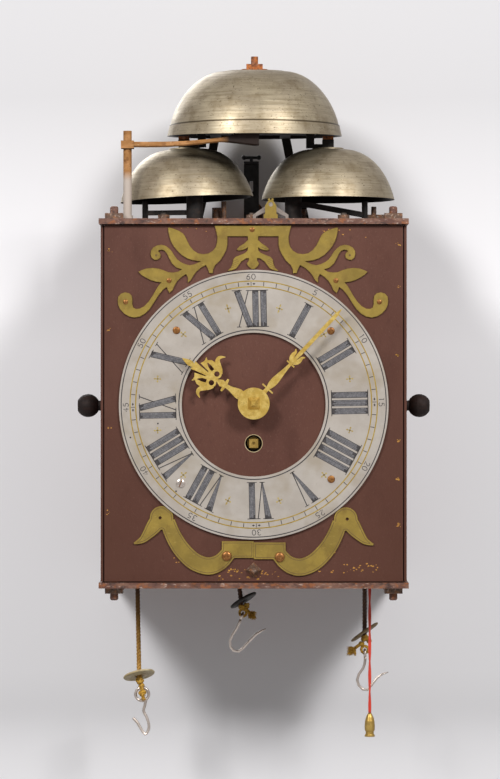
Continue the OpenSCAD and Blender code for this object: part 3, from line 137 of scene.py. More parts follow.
class Shape:
    """Points and faces gathered for one piece, in metres in the clock's frame."""

    def __init__(self):
        self.points, self.faces = [], []

    def sweep(self, rings, closed=False):
        """Joins rings of equal count by four-sided faces, and closes the ends unless it returns."""
        first, k, n = len(self.points), len(rings[0]), len(rings)
        for ring in rings:
            self.points += [tuple(q) for q in ring]
        for i in range(n if closed else n - 1):
            a, b = first + i * k, first + (i + 1) % n * k
            self.faces += [(a + j, b + j, b + (j + 1) % k, a + (j + 1) % k) for j in range(k)]
        if not closed:
            self.faces += [
                tuple(range(first + k - 1, first - 1, -1)),
                tuple(range(first + (n - 1) * k, first + n * k)),
            ]

    def plate(self, outline, front, back):
        """A flat plate from an outline across and up the dial."""
        self.sweep([[dial(x, y, z) for x, z in outline] for y in (front, back)])

    def strip(self, line, widths, front, back, closed=False):
        """A flat ribbon along a line across and up the dial."""
        n, rings = len(line), []
        if not hasattr(widths, "__len__"):
            widths = [widths] * n
        for i, (x, z) in enumerate(line):
            before = line[(i - 1) % n] if closed else line[max(i - 1, 0)]
            after = line[(i + 1) % n] if closed else line[min(i + 1, n - 1)]
            along = Vector((after[0] - before[0], after[1] - before[1]))
            along = along.normalized() if along.length else Vector((1, 0))
            side = Vector((-along.y, along.x)) * widths[i] / 2
            rings.append(
                [
                    dial(x + side.x, front, z + side.y),
                    dial(x - side.x, front, z - side.y),
                    dial(x - side.x, back, z - side.y),
                    dial(x + side.x, back, z + side.y),
                ]
            )
        self.sweep(rings, closed)

    def tube(self, path, radii, sides=8):
        """A round rod along a path of points in metres, with one radius or one for each point."""
        n = len(path)
        if not hasattr(radii, "__len__"):
            radii = [radii] * n
        rings = []
        for (side, up), p, r in zip(carried(path), path, radii):
            turn = [2 * math.pi * k / sides for k in range(sides)]
            rings.append([p + r * (math.cos(a) * side + math.sin(a) * up) for a in turn])
        self.sweep(rings)

    def piece(self, name, finish, slot, body=CASE, smooth=False):
        """Makes the piece, with its finish and the body that it rides on."""
        mesh = bpy.data.meshes.new(name)
        mesh.from_pydata(self.points, [], self.faces)
        work = bmesh.new()
        work.from_mesh(mesh)
        bmesh.ops.recalc_face_normals(work, faces=work.faces)
        for face in work.faces:
            face.smooth = smooth
        work.to_mesh(mesh)
        work.free()
        made = bpy.data.objects.new(name, mesh)
        bpy.context.scene.collection.objects.link(made)
        mesh.materials.append(finish)
        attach(made, body)
        return made


def carried(path):
    """Side and up at each point of a path, carried on without twist."""
    frames, side = [], None
    for before, after in zip(path[:1] + path[:-1], path[1:] + path[-1:]):
        along = (after - before).normalized()
        if side is None:
            side = along.cross(Vector((0, 1, 0)) if abs(along.y) < 0.9 else Vector((1, 0, 0)))
        side = (side - along * side.dot(along)).normalized()
        frames.append((side, along.cross(side)))
    return frames


def finer(path, step):
    """The same path with points a step apart, in metres."""
    points, left = [path[0].copy()], 0.0
    for a, b in zip(path, path[1:]):
        length = (b - a).length
        at = step - left
        while at < length:
            points.append(a.lerp(b, at / length))
            at += step
        left = (left + length) % step
    points.append(path[-1].copy())
    return points


def laid_strands(shape, path, radius, strands, pitch):
    """Strands twisted round a path as a rope is laid, each pitch metres for a whole turn."""
    path = finer(path, pitch / 14)
    frames, run = carried(path), [0.0]
    for a, b in zip(path, path[1:]):
        run.append(run[-1] + (b - a).length)
    turns = run[-1] / pitch
    strand_r = radius * (0.56 if strands == 2 else 0.5)
    for s in range(strands):
        line = []
        for (side, up), p, at in zip(frames, path, run):
            a = 2 * math.pi * (turns * at / run[-1] + s / strands)
            line.append(p + (radius - strand_r) * (math.cos(a) * side + math.sin(a) * up))
        shape.tube(line, strand_r)


def frayed(shape, start, towards, length, spread, count, seed):
    """Loose fibres that open out from a rope's cut end."""
    dice = random.Random(seed)
    towards = towards.normalized()
    for _ in range(count):
        push = Vector((dice.uniform(-1, 1), dice.uniform(-1, 1), dice.uniform(-1, 1)))
        end = towards * dice.uniform(0.55, 1) + push * spread
        bend = Vector((dice.uniform(-1, 1), dice.uniform(-1, 1), dice.uniform(-1, 1))) * 0.25
        line = [start + length * (end * t + bend * t * (1 - t)) for t in (0, 0.25, 0.5, 0.75, 1)]
        shape.tube(line, [0.0002 * w for w in (1.5, 1.4, 1.2, 1, 0.7)], 4)


# --- Colours, nodes and finishes ---------------------------------------------------------------


def linear(colour):
    """A hex colour as Blender's linear red, green, blue and alpha."""
    parts = [int(colour[i : i + 2], 16) / 255 for i in (1, 3, 5)]
    return tuple(c / 12.92 if c < 0.04045 else ((c + 0.055) / 1.055) ** 2.4 for c in parts) + (1,)


def add_node(tree, kind, wires=None, values=None, **settings):
    """Adds a node, sets its settings and values, and wires its inputs."""
    node = tree.nodes.new(kind)
    for key, value in settings.items():
        setattr(node, key, value)
    for key, value in (values or {}).items():
        node.inputs[key].default_value = value
    for key, source in (wires or {}).items():
        tree.links.new(source, node.inputs[key])
    return node


def finish(
    name, ground, layers, metallic=0.0, rough=(0.4, 0.6), relief=None, special=None, **own
):
    """A finish: a ground colour, then layers of (colour, size in mm, stretch, low, high, share).

    Each layer shows where its pattern is above low, fully above high. The patterns keep their real
    size, and a stretch below 1 draws them out along that axis. relief is (size in mm, stretch,
    strength) of the surface's unevenness. special(tree, place, colour) may add what only this
    finish has. own values go to the shader's own sockets.
    """
    material = bpy.data.materials.new(name)
    material.use_nodes = True
    tree = material.node_tree
    shader = tree.nodes["Principled BSDF"]
    place = add_node(tree, "ShaderNodeTexCoord").outputs["Object"]

    def pattern(size, stretch, detail=3.0):
        scale = [1000 / size * s for s in stretch]
        spot = add_node(tree, "ShaderNodeMapping", {"Vector": place}, {"Scale": scale})
        wires = {"Vector": spot.outputs["Vector"]}
        values = {"Scale": 1.0, "Detail": detail, "Roughness": 0.6}
        return add_node(tree, "ShaderNodeTexNoise", wires, values).outputs["Fac"]

    colour = None
    for shade, size, stretch, low, high, share in layers:
        values = {"From Min": low, "From Max": high, "To Max": share}
        mask = add_node(tree, "ShaderNodeMapRange", {"Value": pattern(size, stretch)}, values)
        mix = add_node(
            tree, "ShaderNodeMix", {"Factor": mask.outputs["Result"]}, data_type="RGBA"
        )
        if colour is None:
            mix.inputs["A"].default_value = linear(ground)
        else:
            tree.links.new(colour, mix.inputs["A"])
        mix.inputs["B"].default_value = linear(shade)
        colour = mix.outputs["Result"]
    if special:
        colour = special(tree, place, colour)
    tree.links.new(colour, shader.inputs["Base Color"])
    shader.inputs["Metallic"].default_value = metallic
    for socket, value in own.items():
        shader.inputs[socket.replace("_", " ")].default_value = value
    size = layers[0][1]
    values = {"From Min": 0.3, "From Max": 0.7, "To Min": rough[0], "To Max": rough[1]}
    wires = {"Value": pattern(size * 0.7, (1, 1, 1))}
    gloss = add_node(tree, "ShaderNodeMapRange", wires, values)
    tree.links.new(gloss.outputs["Result"], shader.inputs["Roughness"])
    if relief:
        size, stretch, strength = relief
        values = {"Strength": strength, "Distance": size * 0.2 / 1000}
        bump = add_node(tree, "ShaderNodeBump", {"Height": pattern(size, stretch)}, values)
        tree.links.new(bump.outputs["Normal"], shader.inputs["Normal"])
    return material


EVEN = (1, 1, 1)


def browner(inner, outer, high, low, colour, share):
    """What only the front has: darker and browner towards both sides and the bottom, partly browned
    paint and partly painted shade that leaves the top lighter as if lit.
    """

    def special(tree, place, ground):
        parts = add_node(tree, "ShaderNodeSeparateXYZ", {"Vector": place})
        away = add_node(tree, "ShaderNodeMath", {0: parts.outputs["X"]}, operation="ABSOLUTE")
        values = {"From Min": inner, "From Max": outer}
        side = add_node(tree, "ShaderNodeMapRange", {"Value": away.outputs[0]}, values)
        values = {"From Min": high, "From Max": low}
        down = add_node(tree, "ShaderNodeMapRange", {"Value": parts.outputs["Z"]}, values)
        wires = {0: side.outputs["Result"], 1: down.outputs["Result"]}
        total = add_node(tree, "ShaderNodeMath", wires, operation="ADD")
        values = {"From Max": 2.0, "To Max": share}
        amount = add_node(tree, "ShaderNodeMapRange", {"Value": total.outputs[0]}, values)
        wires = {"Factor": amount.outputs["Result"], "A": ground}
        mix = add_node(tree, "ShaderNodeMix", wires, data_type="RGBA")
        mix.inputs["B"].default_value = linear(colour)
        return mix.outputs["Result"]

    return special


def bands(levels):
    """Another colour between two places along an axis, in metres: for pieces of several colours, and
    for painted shade on the left rope and under the hour bell's lip.
    """

    def special(tree, place, ground):
        parts = add_node(tree, "ShaderNodeSeparateXYZ", {"Vector": place})
        for axis, low, high, colour, soft in levels:
            wires = {"Value": parts.outputs[axis]}
            values = {"From Min": low - soft, "From Max": low + soft}
            above = add_node(tree, "ShaderNodeMapRange", wires, values)
            values = {"From Min": high + soft, "From Max": high - soft}
            under = add_node(tree, "ShaderNodeMapRange", wires, values)
            wires = {0: above.outputs["Result"], 1: under.outputs["Result"]}
            share = add_node(tree, "ShaderNodeMath", wires, operation="MULTIPLY")
            wires = {"Factor": share.outputs[0], "A": ground}
            mix = add_node(tree, "ShaderNodeMix", wires, data_type="RGBA")
            mix.inputs["B"].default_value = linear(colour)
            ground = mix.outputs["Result"]
        return ground

    return special


def hollow(colour, levels):
    """What only the bells have: bands of their own, and painted shade on every face that looks down,
    darkening their insides and undersides.
    """
    banded = bands(levels)

    def special(tree, place, ground):
        ground = banded(tree, place, ground)
        # Painted shade: faces that look down are mixed towards the dark colour
        facing = add_node(tree, "ShaderNodeNewGeometry").outputs["True Normal"]
        up = add_node(tree, "ShaderNodeSeparateXYZ", {"Vector": facing}).outputs["Z"]
        values = {"From Min": -0.02, "From Max": -0.08}
        under = add_node(tree, "ShaderNodeMapRange", {"Value": up}, values)
        wires = {"Factor": under.outputs["Result"], "A": ground}
        mix = add_node(tree, "ShaderNodeMix", wires, data_type="RGBA")
        mix.inputs["B"].default_value = linear(colour)
        return mix.outputs["Result"]

    return special


FINISHES = {}


def mix_finishes():
    """Makes every finish once, by the record's slot or by a name of its own."""
    made = FINISHES
    # Old oil paint brushed on iron sheet: dull red-brown, clouded, with pale dust in its pores
    made["front_paint"] = finish(
        "oil paint brushed on iron sheet", "#563329",
        [("#5f3b2f", 60, (1, 1, 0.6), 0.42, 0.66, 0.8),
         ("#44241a", 26, (1, 1, 0.5), 0.5, 0.72, 0.6),
         ("#76564a", 1.6, (1, 1, 0.8), 0.58, 0.76, 0.45),
         ("#3a1e15", 2.6, (1, 1, 0.4), 0.6, 0.78, 0.5)],
        rough=(0.5, 0.72), relief=(1.2, (1, 1, 0.5), 0.3),
        # Partly painted shade: the front darkens towards its sides and its bottom
        special=browner(0.045, 0.12, -0.03, -0.27, "#41200f", 0.7), Specular_IOR_Level=0.3,
    )
    # Forged iron bars under the same paint, worn through to rust and bright metal at the edges
    made["frame_iron"] = finish(
        "worn paint on forged iron", "#573529",
        [("#7d5a49", 5, (0.5, 1, 0.8), 0.46, 0.62, 0.8),
         ("#8a4f24", 3.2, (0.6, 1, 0.8), 0.54, 0.64, 0.8),
         ("#c0a697", 1.3, (0.35, 1, 1), 0.6, 0.7, 0.65),
         ("#24120b", 3.4, (0.5, 1, 1), 0.56, 0.68, 0.8)],
        rough=(0.45, 0.7), relief=(1.5, EVEN, 0.5),
    )
    # Bare forged iron with a brown coat of rust
    made["old_iron"] = finish(
        "rusted forged iron", "#4a2e22",
        [("#85491f", 3.0, EVEN, 0.5, 0.68, 0.8), ("#2a1a14", 4.2, EVEN, 0.52, 0.7, 0.8),
         ("#b7884f", 1.5, EVEN, 0.62, 0.74, 0.6)],
        metallic=0.2, rough=(0.5, 0.75), relief=(0.9, EVEN, 0.5),
    )
    # Blackened iron, nearly without gloss
    made["black_iron"] = finish(
        "blackened iron", "#0d0c0c",
        [("#1e1a18", 6, EVEN, 0.45, 0.7, 0.8), ("#35261d", 2.4, EVEN, 0.62, 0.76, 0.5)],
        rough=(0.45, 0.65), relief=(1.4, EVEN, 0.3),
    )
    # Bars of the movement, filed along their length, with rust in places
    made["bar_iron"] = finish(
        "filed wrought iron bar", "#3b332d",
        [("#5e5248", 5, (1, 1, 0.2), 0.45, 0.7, 0.8), ("#5a341c", 3, EVEN, 0.6, 0.75, 0.6)],
        metallic=0.5, rough=(0.4, 0.6), relief=(1.2, (1, 1, 0.2), 0.3),
    )
    # Drawn and filed steel, greyed, with a trace of brown
    made["steel"] = finish(
        "filed steel", "#b3a9a0",
        [("#8d8178", 6, (1, 1, 0.3), 0.42, 0.7, 0.7), ("#6f5742", 2.2, EVEN, 0.62, 0.78, 0.5)],
        metallic=1.0, rough=(0.24, 0.42), relief=(0.6, (1, 1, 0.3), 0.15),
    )
    # Ring silvered long ago and gone pewter-grey, finely brushed, with faint yellowing
    made["ring_metal"] = finish(
        "silvered brass sheet", "#a59c92",
        [("#b0a89f", 22, EVEN, 0.42, 0.64, 0.8), ("#978b79", 30, EVEN, 0.5, 0.7, 0.7),
         ("#83786a", 1.3, EVEN, 0.64, 0.78, 0.45)],
        metallic=0.3, rough=(0.4, 0.55), relief=(0.7, (1, 1, 0.25), 0.12),
    )
    # Heads of the rivets, hammered and browned
    made["copper"] = finish(
        "hammered copper", "#7b5029",
        [("#a0733f", 2.2, EVEN, 0.45, 0.65, 0.7), ("#432613", 1.2, EVEN, 0.52, 0.68, 0.8)],
        metallic=0.8, rough=(0.3, 0.5), relief=(0.8, EVEN, 0.3),
    )
    # Rolled brass left to tarnish: ochre with brown clouds and fine rubbing marks
    made["aged_brass"] = finish(
        "tarnished rolled brass", "#857033",
        [("#978039", 16, EVEN, 0.42, 0.64, 0.85), ("#6d5326", 9, (1, 1, 0.7), 0.54, 0.76, 0.6),
         ("#5b431f", 1.2, EVEN, 0.64, 0.78, 0.4), ("#b39c55", 2.4, (0.4, 1, 1), 0.62, 0.76, 0.4)],
        metallic=0.6, rough=(0.38, 0.56), relief=(0.8, (1, 1, 0.4), 0.2),
    )
    # Hands and their disc, filed and rubbed bright, darker in the hollows
    made["hand_brass"] = finish(
        "filed brass, rubbed bright", "#c2a14e",
        [("#d8bd6d", 5, EVEN, 0.42, 0.62, 0.8), ("#8c6b2a", 3, EVEN, 0.56, 0.74, 0.6),
         ("#a5863c", 0.9, EVEN, 0.55, 0.72, 0.6)],
        metallic=0.75, rough=(0.28, 0.44), relief=(0.6, EVEN, 0.25),
    )
    # Wheels inside, cut from brass plate
    made["wheel_brass"] = finish(
        "cut brass wheel", "#9c7f3f",
        [("#b79a55", 8, EVEN, 0.42, 0.66, 0.8), ("#6b5126", 4, EVEN, 0.55, 0.72, 0.6)],
        metallic=0.8, rough=(0.3, 0.5), relief=(0.7, EVEN, 0.15),
    )
    # Cast bell metal turned on a lathe: fine rings, grey-beige, with brown specks; painted shade on
    # every face that looks down, and a painted shadow line under the hour bell's lip step
    made["bell_metal"] = finish(
        "turned bell bronze", "#918570",
        [("#a4987f", 30, (1, 1, 0.7), 0.4, 0.64, 0.8),
         ("#756850", 1.3, (0.04, 0.04, 1), 0.46, 0.66, 0.55),
         ("#bab09c", 0.9, (0.05, 0.05, 1), 0.56, 0.74, 0.35),
         ("#6c5c42", 14, EVEN, 0.48, 0.68, 0.55), ("#43351f", 1.2, (0.6, 0.6, 1), 0.61, 0.7, 0.8)],
        metallic=0.78, rough=(0.4, 0.54), relief=(0.9, (0.04, 0.04, 1), 0.12),
        # Painted shadow: a dark line under the step of the hour bell's lip
        special=hollow("#120c07", [("Z", 0.0668, 0.068, "#3a2e1c", 0.0004)]),
    )
    # The nuts and washers of the bells: bright orange rust over grey-brown studs
    made["orange_rust"] = finish(
        "orange rust on iron nuts", "#8a4a1c",
        [("#bb6c28", 3, EVEN, 0.46, 0.62, 0.8), ("#402211", 2.6, EVEN, 0.48, 0.64, 0.85),
         ("#9c8a7c", 5, (1, 1, 0.4), 0.56, 0.7, 0.6)],
        rough=(0.6, 0.8), relief=(0.8, EVEN, 0.5),
    )
    # The hour hammer: ochre varnish gone brown on its arm, dark head, bright lower arbor
    made["hammer_iron"] = finish(
        "varnished hammer iron", "#96683a",
        [("#b38152", 6, (0.4, 1, 1), 0.44, 0.64, 0.8),
         ("#6c431f", 3.4, (0.6, 1, 1), 0.52, 0.68, 0.8),
         ("#d0b48c", 1.4, (0.4, 1, 1), 0.62, 0.74, 0.6)],
        rough=(0.45, 0.7), relief=(1.0, EVEN, 0.4),
        special=bands(
            [("X", -0.024, 0.02, "#1e110a", 0.004), ("Z", -0.02, 0.022, "#b5a89d", 0.004)]
        ),
        Specular_IOR_Level=0.2,
    )
    # Stand and quarter hammers, forged and nearly black, a trace of rust
    made["dark_iron"] = finish(
        "forged iron, nearly black", "#141110",
        [("#2a211c", 5, EVEN, 0.45, 0.7, 0.8), ("#4a3020", 2.2, EVEN, 0.62, 0.76, 0.5)],
        rough=(0.6, 0.8), relief=(1.2, EVEN, 0.3), Specular_IOR_Level=0.25,
    )
    # The round nuts on the top plate are pale, the square nuts at the corners rusty brown
    made["nut_iron"] = finish(
        "worn iron nuts", "#5b4436",
        [("#8a5a34", 3.2, EVEN, 0.48, 0.66, 0.8), ("#b8a596", 1.8, EVEN, 0.56, 0.7, 0.7),
         ("#2a1a12", 3.4, EVEN, 0.54, 0.7, 0.8)],
        metallic=0.2, rough=(0.45, 0.7), relief=(0.9, EVEN, 0.4),
    )
    # Turned hardwood, nearly black with age and handling
    made["turned_wood"] = finish(
        "turned dark hardwood", "#140805",
        [("#241109", 5, (0.2, 1, 1), 0.45, 0.68, 0.8),
         ("#0c0502", 2, (0.2, 1, 1), 0.55, 0.7, 0.6)],
        rough=(0.6, 0.8), relief=(1.6, (0.3, 1, 1), 0.2), Specular_IOR_Level=0.25,
    )
    # Three-strand hemp: straw yellow with brown in the lay, and painted shade darkening it just under
    # the case
    made["rope"] = finish(
        "laid hemp rope", "#a87c36",
        [("#c99c50", 2.4, (1, 1, 0.4), 0.44, 0.64, 0.8), ("#5d3d1a", 9, EVEN, 0.5, 0.7, 0.6),
         ("#6b4a22", 0.7, (1, 1, 0.3), 0.55, 0.7, 0.6)],
        rough=(0.75, 0.9), relief=(0.35, (1, 1, 0.4), 0.5),
        # Painted shade: darker for the stretch just below the case
        special=bands([("Z", -0.345, -0.3, "#43280f", 0.02)]),
    )
    # Knots, loops and loose ends: yellow hemp, painted brighter as painted light for the direct light
    # that the clock's shadow keeps from them
    made["loose_hemp"] = finish(
        "knotted hemp, its fibres open", "#b4872a",
        [("#dcb04a", 1.8, EVEN, 0.44, 0.62, 0.8), ("#4a2f10", 2.6, EVEN, 0.52, 0.68, 0.85)],
        rough=(0.75, 0.9), relief=(0.35, (1, 1, 0.4), 0.5),
    )
    # Two of the ropes, dark with oil from the movement
    made["dark_rope"] = finish(
        "laid hemp rope, dark with oil", "#3a2112",
        [("#573519", 2.4, (1, 1, 0.4), 0.45, 0.66, 0.8), ("#1c0f08", 1.2, EVEN, 0.5, 0.7, 0.7)],
        rough=(0.6, 0.8), relief=(0.35, (1, 1, 0.4), 0.5),
    )
    # Thick sole leather cut to discs: pale, greasy and dark at the middle
    made["leather"] = finish(
        "cut sole leather", "#a9956c",
        [("#c9bb98", 7, EVEN, 0.44, 0.64, 0.8), ("#6f5834", 4, EVEN, 0.52, 0.72, 0.7)],
        rough=(0.45, 0.65), relief=(0.9, EVEN, 0.35),
    )
    # The right disc, browned by grease
    made["brown_leather"] = finish(
        "cut sole leather, brown with grease", "#6f5a36",
        [("#8c764c", 6, EVEN, 0.46, 0.66, 0.8), ("#3c2b18", 3, EVEN, 0.52, 0.7, 0.8)],
        rough=(0.5, 0.7), relief=(0.9, EVEN, 0.35),
    )
    # Pull cord of twisted silk, bright where it catches the light
    made["red_silk"] = finish(
        "twisted red silk", "#c92c12",
        [("#dc4a28", 1.6, (1, 1, 0.25), 0.45, 0.64, 0.8), ("#a32310", 4, EVEN, 0.55, 0.72, 0.5)],
        rough=(0.5, 0.7), relief=(0.25, (1, 1, 0.3), 0.4), Sheen_Weight=0.3,
    )
    # Black sealing wax rubbed into the engraved figures
    made["wax"] = finish(
        "black engraver's wax", "#2c2828",
        [("#454042", 1.8, EVEN, 0.45, 0.66, 0.7), ("#1a1616", 3, EVEN, 0.5, 0.7, 0.7)],
        rough=(0.55, 0.75), relief=(0.6, EVEN, 0.2),
    )
    # Streaks along the figures where the wax is rubbed down to grey metal
    made["worn_wax"] = finish(
        "engraver's wax worn to the metal", "#5c5a5d",
        [("#757374", 1.5, EVEN, 0.45, 0.62, 0.8), ("#454347", 2.4, EVEN, 0.5, 0.68, 0.7)],
        rough=(0.5, 0.7), relief=(0.6, EVEN, 0.2),
    )
    # Gold paint drawn into the engraved lines of the ring
    made["gold_line"] = finish(
        "gold paint in engraved lines", "#94791f",
        [("#a8903c", 4, EVEN, 0.45, 0.62, 0.8), ("#765e14", 7, EVEN, 0.5, 0.7, 0.7)],
        metallic=0.2, rough=(0.45, 0.6),
    )
    # Small crosses of gold leaf, mostly rubbed off
    made["pale_gold"] = finish(
        "gold leaf rubbed nearly away", "#9a8448",
        [("#b5a266", 3, EVEN, 0.42, 0.6, 0.8), ("#7c6626", 2.2, EVEN, 0.52, 0.68, 0.7)],
        metallic=0.2, rough=(0.45, 0.6),
    )
    # Dirt in the lines cut into the brass sheets
    made["brass_groove"] = finish(
        "engraved groove in brass", "#5c441c",
        [("#4a3514", 4, EVEN, 0.45, 0.65, 0.7)],
        rough=(0.55, 0.7),
    )
    # Ochre ground that shows where flakes of paint are gone
    made["chip"] = finish(
        "ochre ground where paint is gone", "#a8742c",
        [("#c79438", 2.4, EVEN, 0.45, 0.62, 0.8), ("#6e4418", 1.6, EVEN, 0.52, 0.68, 0.7)],
        rough=(0.6, 0.8), relief=(0.7, EVEN, 0.4),
    )


# --- Sizes and colours that a user may change --------------------------------------------------


class WallClockDial(bpy.types.PropertyGroup):
    """Engraving of the chapter ring."""

    line_width: bpy.props.FloatProperty(
        name="Line width",
        description="Width of the engraved lines in millimetres",
        default=0.6,
        min=0.2,
        max=1.2,
    )
    thick_stroke: bpy.props.FloatProperty(
        name="Thick stroke",
        description="Width of the Roman figures' thick strokes in millimetres",
        default=5.1,
    )
    minute_figure: bpy.props.FloatProperty(
        name="Minute figures",
        description="Height of the minute figures in millimetres",
        default=4.6,
    )


class WallClockRopes(bpy.types.PropertyGroup):
    """Ropes and the pull cord."""

    rope_diameter: bpy.props.FloatProperty(
        name="Rope",
        description="Diameter of the three ropes",
        default=0.003,
        subtype="DISTANCE",
        unit="LENGTH",
    )
    cord_diameter: bpy.props.FloatProperty(
        name="Cord",
        description="Diameter of the pull cord",
        default=0.002,
        subtype="DISTANCE",
        unit="LENGTH",
    )


class WallClockStudio(bpy.types.PropertyGroup):
    """Backdrop and lamps."""

    backdrop: bpy.props.FloatVectorProperty(
        name="Backdrop",
        description="Colour of the wall and floor",
        subtype="COLOR",
        default=linear("#fdfbfd")[:3],
    )
    lamp_power: bpy.props.FloatProperty(
        name="Lamps",
        description="Power of each front lamp",
        default=41.0,
        subtype="POWER",
        unit="POWER",
    )
    surround: bpy.props.FloatProperty(
        name="Surround", description="Strength of the light from all round", default=0.26
    )


# --- Pieces ------------------------------------------------------------------------------------

# Middle lines of the ropes and the cord as in the source, in mm
STRIKE_ROUTE = [
    (-98.5, 72, -60), (-98.5, 72, -90), (-98.5, 72, -120), (-98, 72, -150),
    (-97.5, 72, -180), (-97, 72, -205), (-96.5, 72, -233),
]
GOING_ROUTE = [
    (-24, 72, -33), (-24, 72, -50), (-22, 72, -80), (-18, 72, -115),
    (-14, 72, -145), (-11.5, 72, -160), (-10.5, 72, -171),
]
QUARTER_ROUTE = [
    (93.5, 72, -60), (93.5, 72, -90), (93.5, 72, -120), (93.5, 72, -150),
    (93.5, 72, -170), (93.5, 72, -198),
]
PULL_ROUTE = [(96.6, 40, z) for z in (-127.4, -150, -180, -215, -258)]
# Rope, route, finish, knot's middle, hook's pivot, tuft's middle and reach in mm, count of fibres
ROPES = [
    ("strike", STRIKE_ROUTE, "rope", (-96, -234), (-94, -240), (-93.4, -247, 2.6), 60),
    ("going", GOING_ROUTE, "dark_rope", (-9.5, -171), (-9, -177), (-3.5, -176.8, 4.2), 190),
    ("quarter", QUARTER_ROUTE, "dark_rope", (91, -202.4), (93.6, -208), (85, -207, 4.6), 210),
]
# The lumps of each knot: across, up and radius in mm
LUMPS = {
    "strike": [(-96, -234, 3.6), (-94.6, -238.6, 2.7), (-93.8, -244.4, 3.4)],
    "going": [(-9.8, -172, 3.2), (-6, -171, 2.8)],
    "quarter": [(93.6, -198.6, 3.4), (90.8, -203.4, 2.6), (97.2, -200.6, 2.3)],
}
# Middle lines of the two hooks whose eyes are seen edge-on, from the pivot down, in mm
WIRES = {
    "centre_hook": [
        (-9, -177), (-12, -185.2), (-14.2, -190), (-17.7, -195.3), (-20, -200.6),
        (-19.6, -205.7), (-17, -209), (-12.6, -209.6), (-8.6, -206.4), (-3.5, -200.6),
        (2.4, -194.7), (6.3, -192.5), (10.2, -190.4),
    ],
    "right_hook": [
        (93.6, -208), (93.9, -216), (93.6, -219.6), (92.4, -223.4), (88.6, -228.9),
        (87.2, -233.6), (88.6, -238.3), (91.9, -241.5), (95.6, -242), (99.4, -237.8),
        (104, -231.7), (108.8, -228.4), (113.4, -227),
    ],
}
# The ropes whose loops lie across the view, for the hooks whose eyes are seen edge-on
EDGE_ON = ("going", "quarter")
# Radii in mm of the hooks' wire, of their eyes and of the rope loops
WIRE_R = 1.15
EYE_R = 3.3
LOOP_R = 2.9
# Radius round the laid strands as a share of the declared diameter: over a half, because the
# hollows between the strands take away from it
ROPE_SPREAD = 0.68
CORD_SPREAD = 0.66
# Radius of the thin rope in the knots and pitch of all thin rope, in metres
KNOT_ROPE = 0.00135
KNOT_PITCH = 0.005


# Middle, radius, lean, tip towards the viewer and finish of the three discs
DISCS = [
    ((-96.6, -229.4), 13.5, 12.8, 21, "leather"),
    ((-8.7, -166.4), 12.5, 31, 12, "dark_iron"),
    ((93.3, -193.3), 13.8, 35, 8, "brown_leather"),
]
# Radius as a share of the disc's, and depth in mm, round a turned disc from its underside
DISC_PROFILE = [
    (0.2, 0.3), (0.3, 1.1), (0.5, 1.25), (0.56, 0.95), (0.62, 1.25), (0.86, 1.2), (0.96, 0.8),
    (1, 0.1), (0.97, -0.7), (0.88, -1.1), (0.6, -1.25), (0.3, -1.25), (0.2, -0.6),
]


class WALLCLOCK_OT_discs(bpy.types.Operator):
    """Turns the three discs that stop the ropes, each tilted as it hangs"""

    bl_idname = "wallclock.discs"
    bl_label = "Discs"

    def execute(self, context):
        for i, (middle, radius, lean, tip, coat) in enumerate(DISCS):
            a, t = math.radians(lean), math.radians(tip)
            across = Vector((math.cos(a), 0, math.sin(a)))
            deep = Vector((-math.sin(a) * math.sin(t), -math.cos(t), math.cos(a) * math.sin(t)))
            out = across.cross(deep)
            centre, rings = dial(middle[0], ROPE_Y, middle[1]), []
            for k in range(48):
                turn = 2 * math.pi * k / 48
                way = math.cos(turn) * across + math.sin(turn) * deep
                wave = 1 + 0.006 * math.sin(3 * turn + i)
                rings.append(
                    [centre + (radius * wave * r * way + h * out) / 1000 for r, h in DISC_PROFILE]
                )
            disc = Shape()
            disc.sweep(rings, closed=True)
            disc = disc.piece(f"rope_disc_{i + 1}", FINISHES[coat], "leather", smooth=True)
            if i == 0:
                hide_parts("rope_discs")
        return {"FINISHED"}


# Across, depth, lowest, highest and half the width of the hour hammer's arm and head, in mm
HAMMER = [
    (-101, 25.7, 212.1, 216.3, 4.3), (-88, 24.7, 211.9, 216.1, 4.2), (-72, 23.4, 212.1, 216.2, 4),
    (-58, 22.2, 212.8, 216.6, 3.8), (-46, 21.2, 213.9, 217.4, 3.6), (-36, 20.4, 215, 218.2, 3.7),
    (-27, 19.7, 215.9, 219.4, 4.3), (-18, 18.9, 215.1, 221.4, 5.2), (-8, 18.1, 213.8, 224.6, 6),
    (2, 17.3, 212.6, 227.4, 6.3), (4.4, 17.1, 213, 227, 5.6),
]
# The CAD hammer is kept up to here, beside its arbor's square collar, in metres
ARM_CUT = -0.0992


class WALLCLOCK_OT_hour_hammer(bpy.types.Operator):
    """Bends the hour hammer's arm and gives its head the shape of a wedge"""

    bl_idname = "wallclock.hour_hammer"
    bl_label = "Hour hammer"

    def execute(self, context):
        work = bmesh.new()
        work.from_mesh(frame["nodes"]["hour_hammer"].data)
        parts = work.verts[:] + work.edges[:] + work.faces[:]
        bmesh.ops.bisect_plane(
            work, geom=parts, plane_co=(ARM_CUT, 0, 0), plane_no=(1, 0, 0), clear_outer=True
        )
        bmesh.ops.holes_fill(work, edges=[e for e in work.edges if e.is_boundary])
        work.verts.ensure_lookup_table()
        hammer = Shape()
        hammer.points = [tuple(v.co) for v in work.verts]
        hammer.faces = [tuple(v.index for v in face.verts) for face in work.faces]
        work.free()
        rings, soft = [], 0.8
        for x, y, low, high, half in HAMMER:
            rings.append(
                [
                    dial(x, y - half, low + soft), dial(x, y - half + soft, low),
                    dial(x, y + half - soft, low), dial(x, y + half, low + soft),
                    dial(x, y + half, high - soft), dial(x, y + half - soft, high),
                    dial(x, y - half + soft, high), dial(x, y - half, high - soft),
                ]
            )
        hammer.sweep(rings)
        hammer = hammer.piece(
            "hour_hammer_forging", FINISHES["hammer_iron"], "old_iron", "hour_hammer_body"
        )
        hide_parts("hour_hammer")
        return {"FINISHED"}


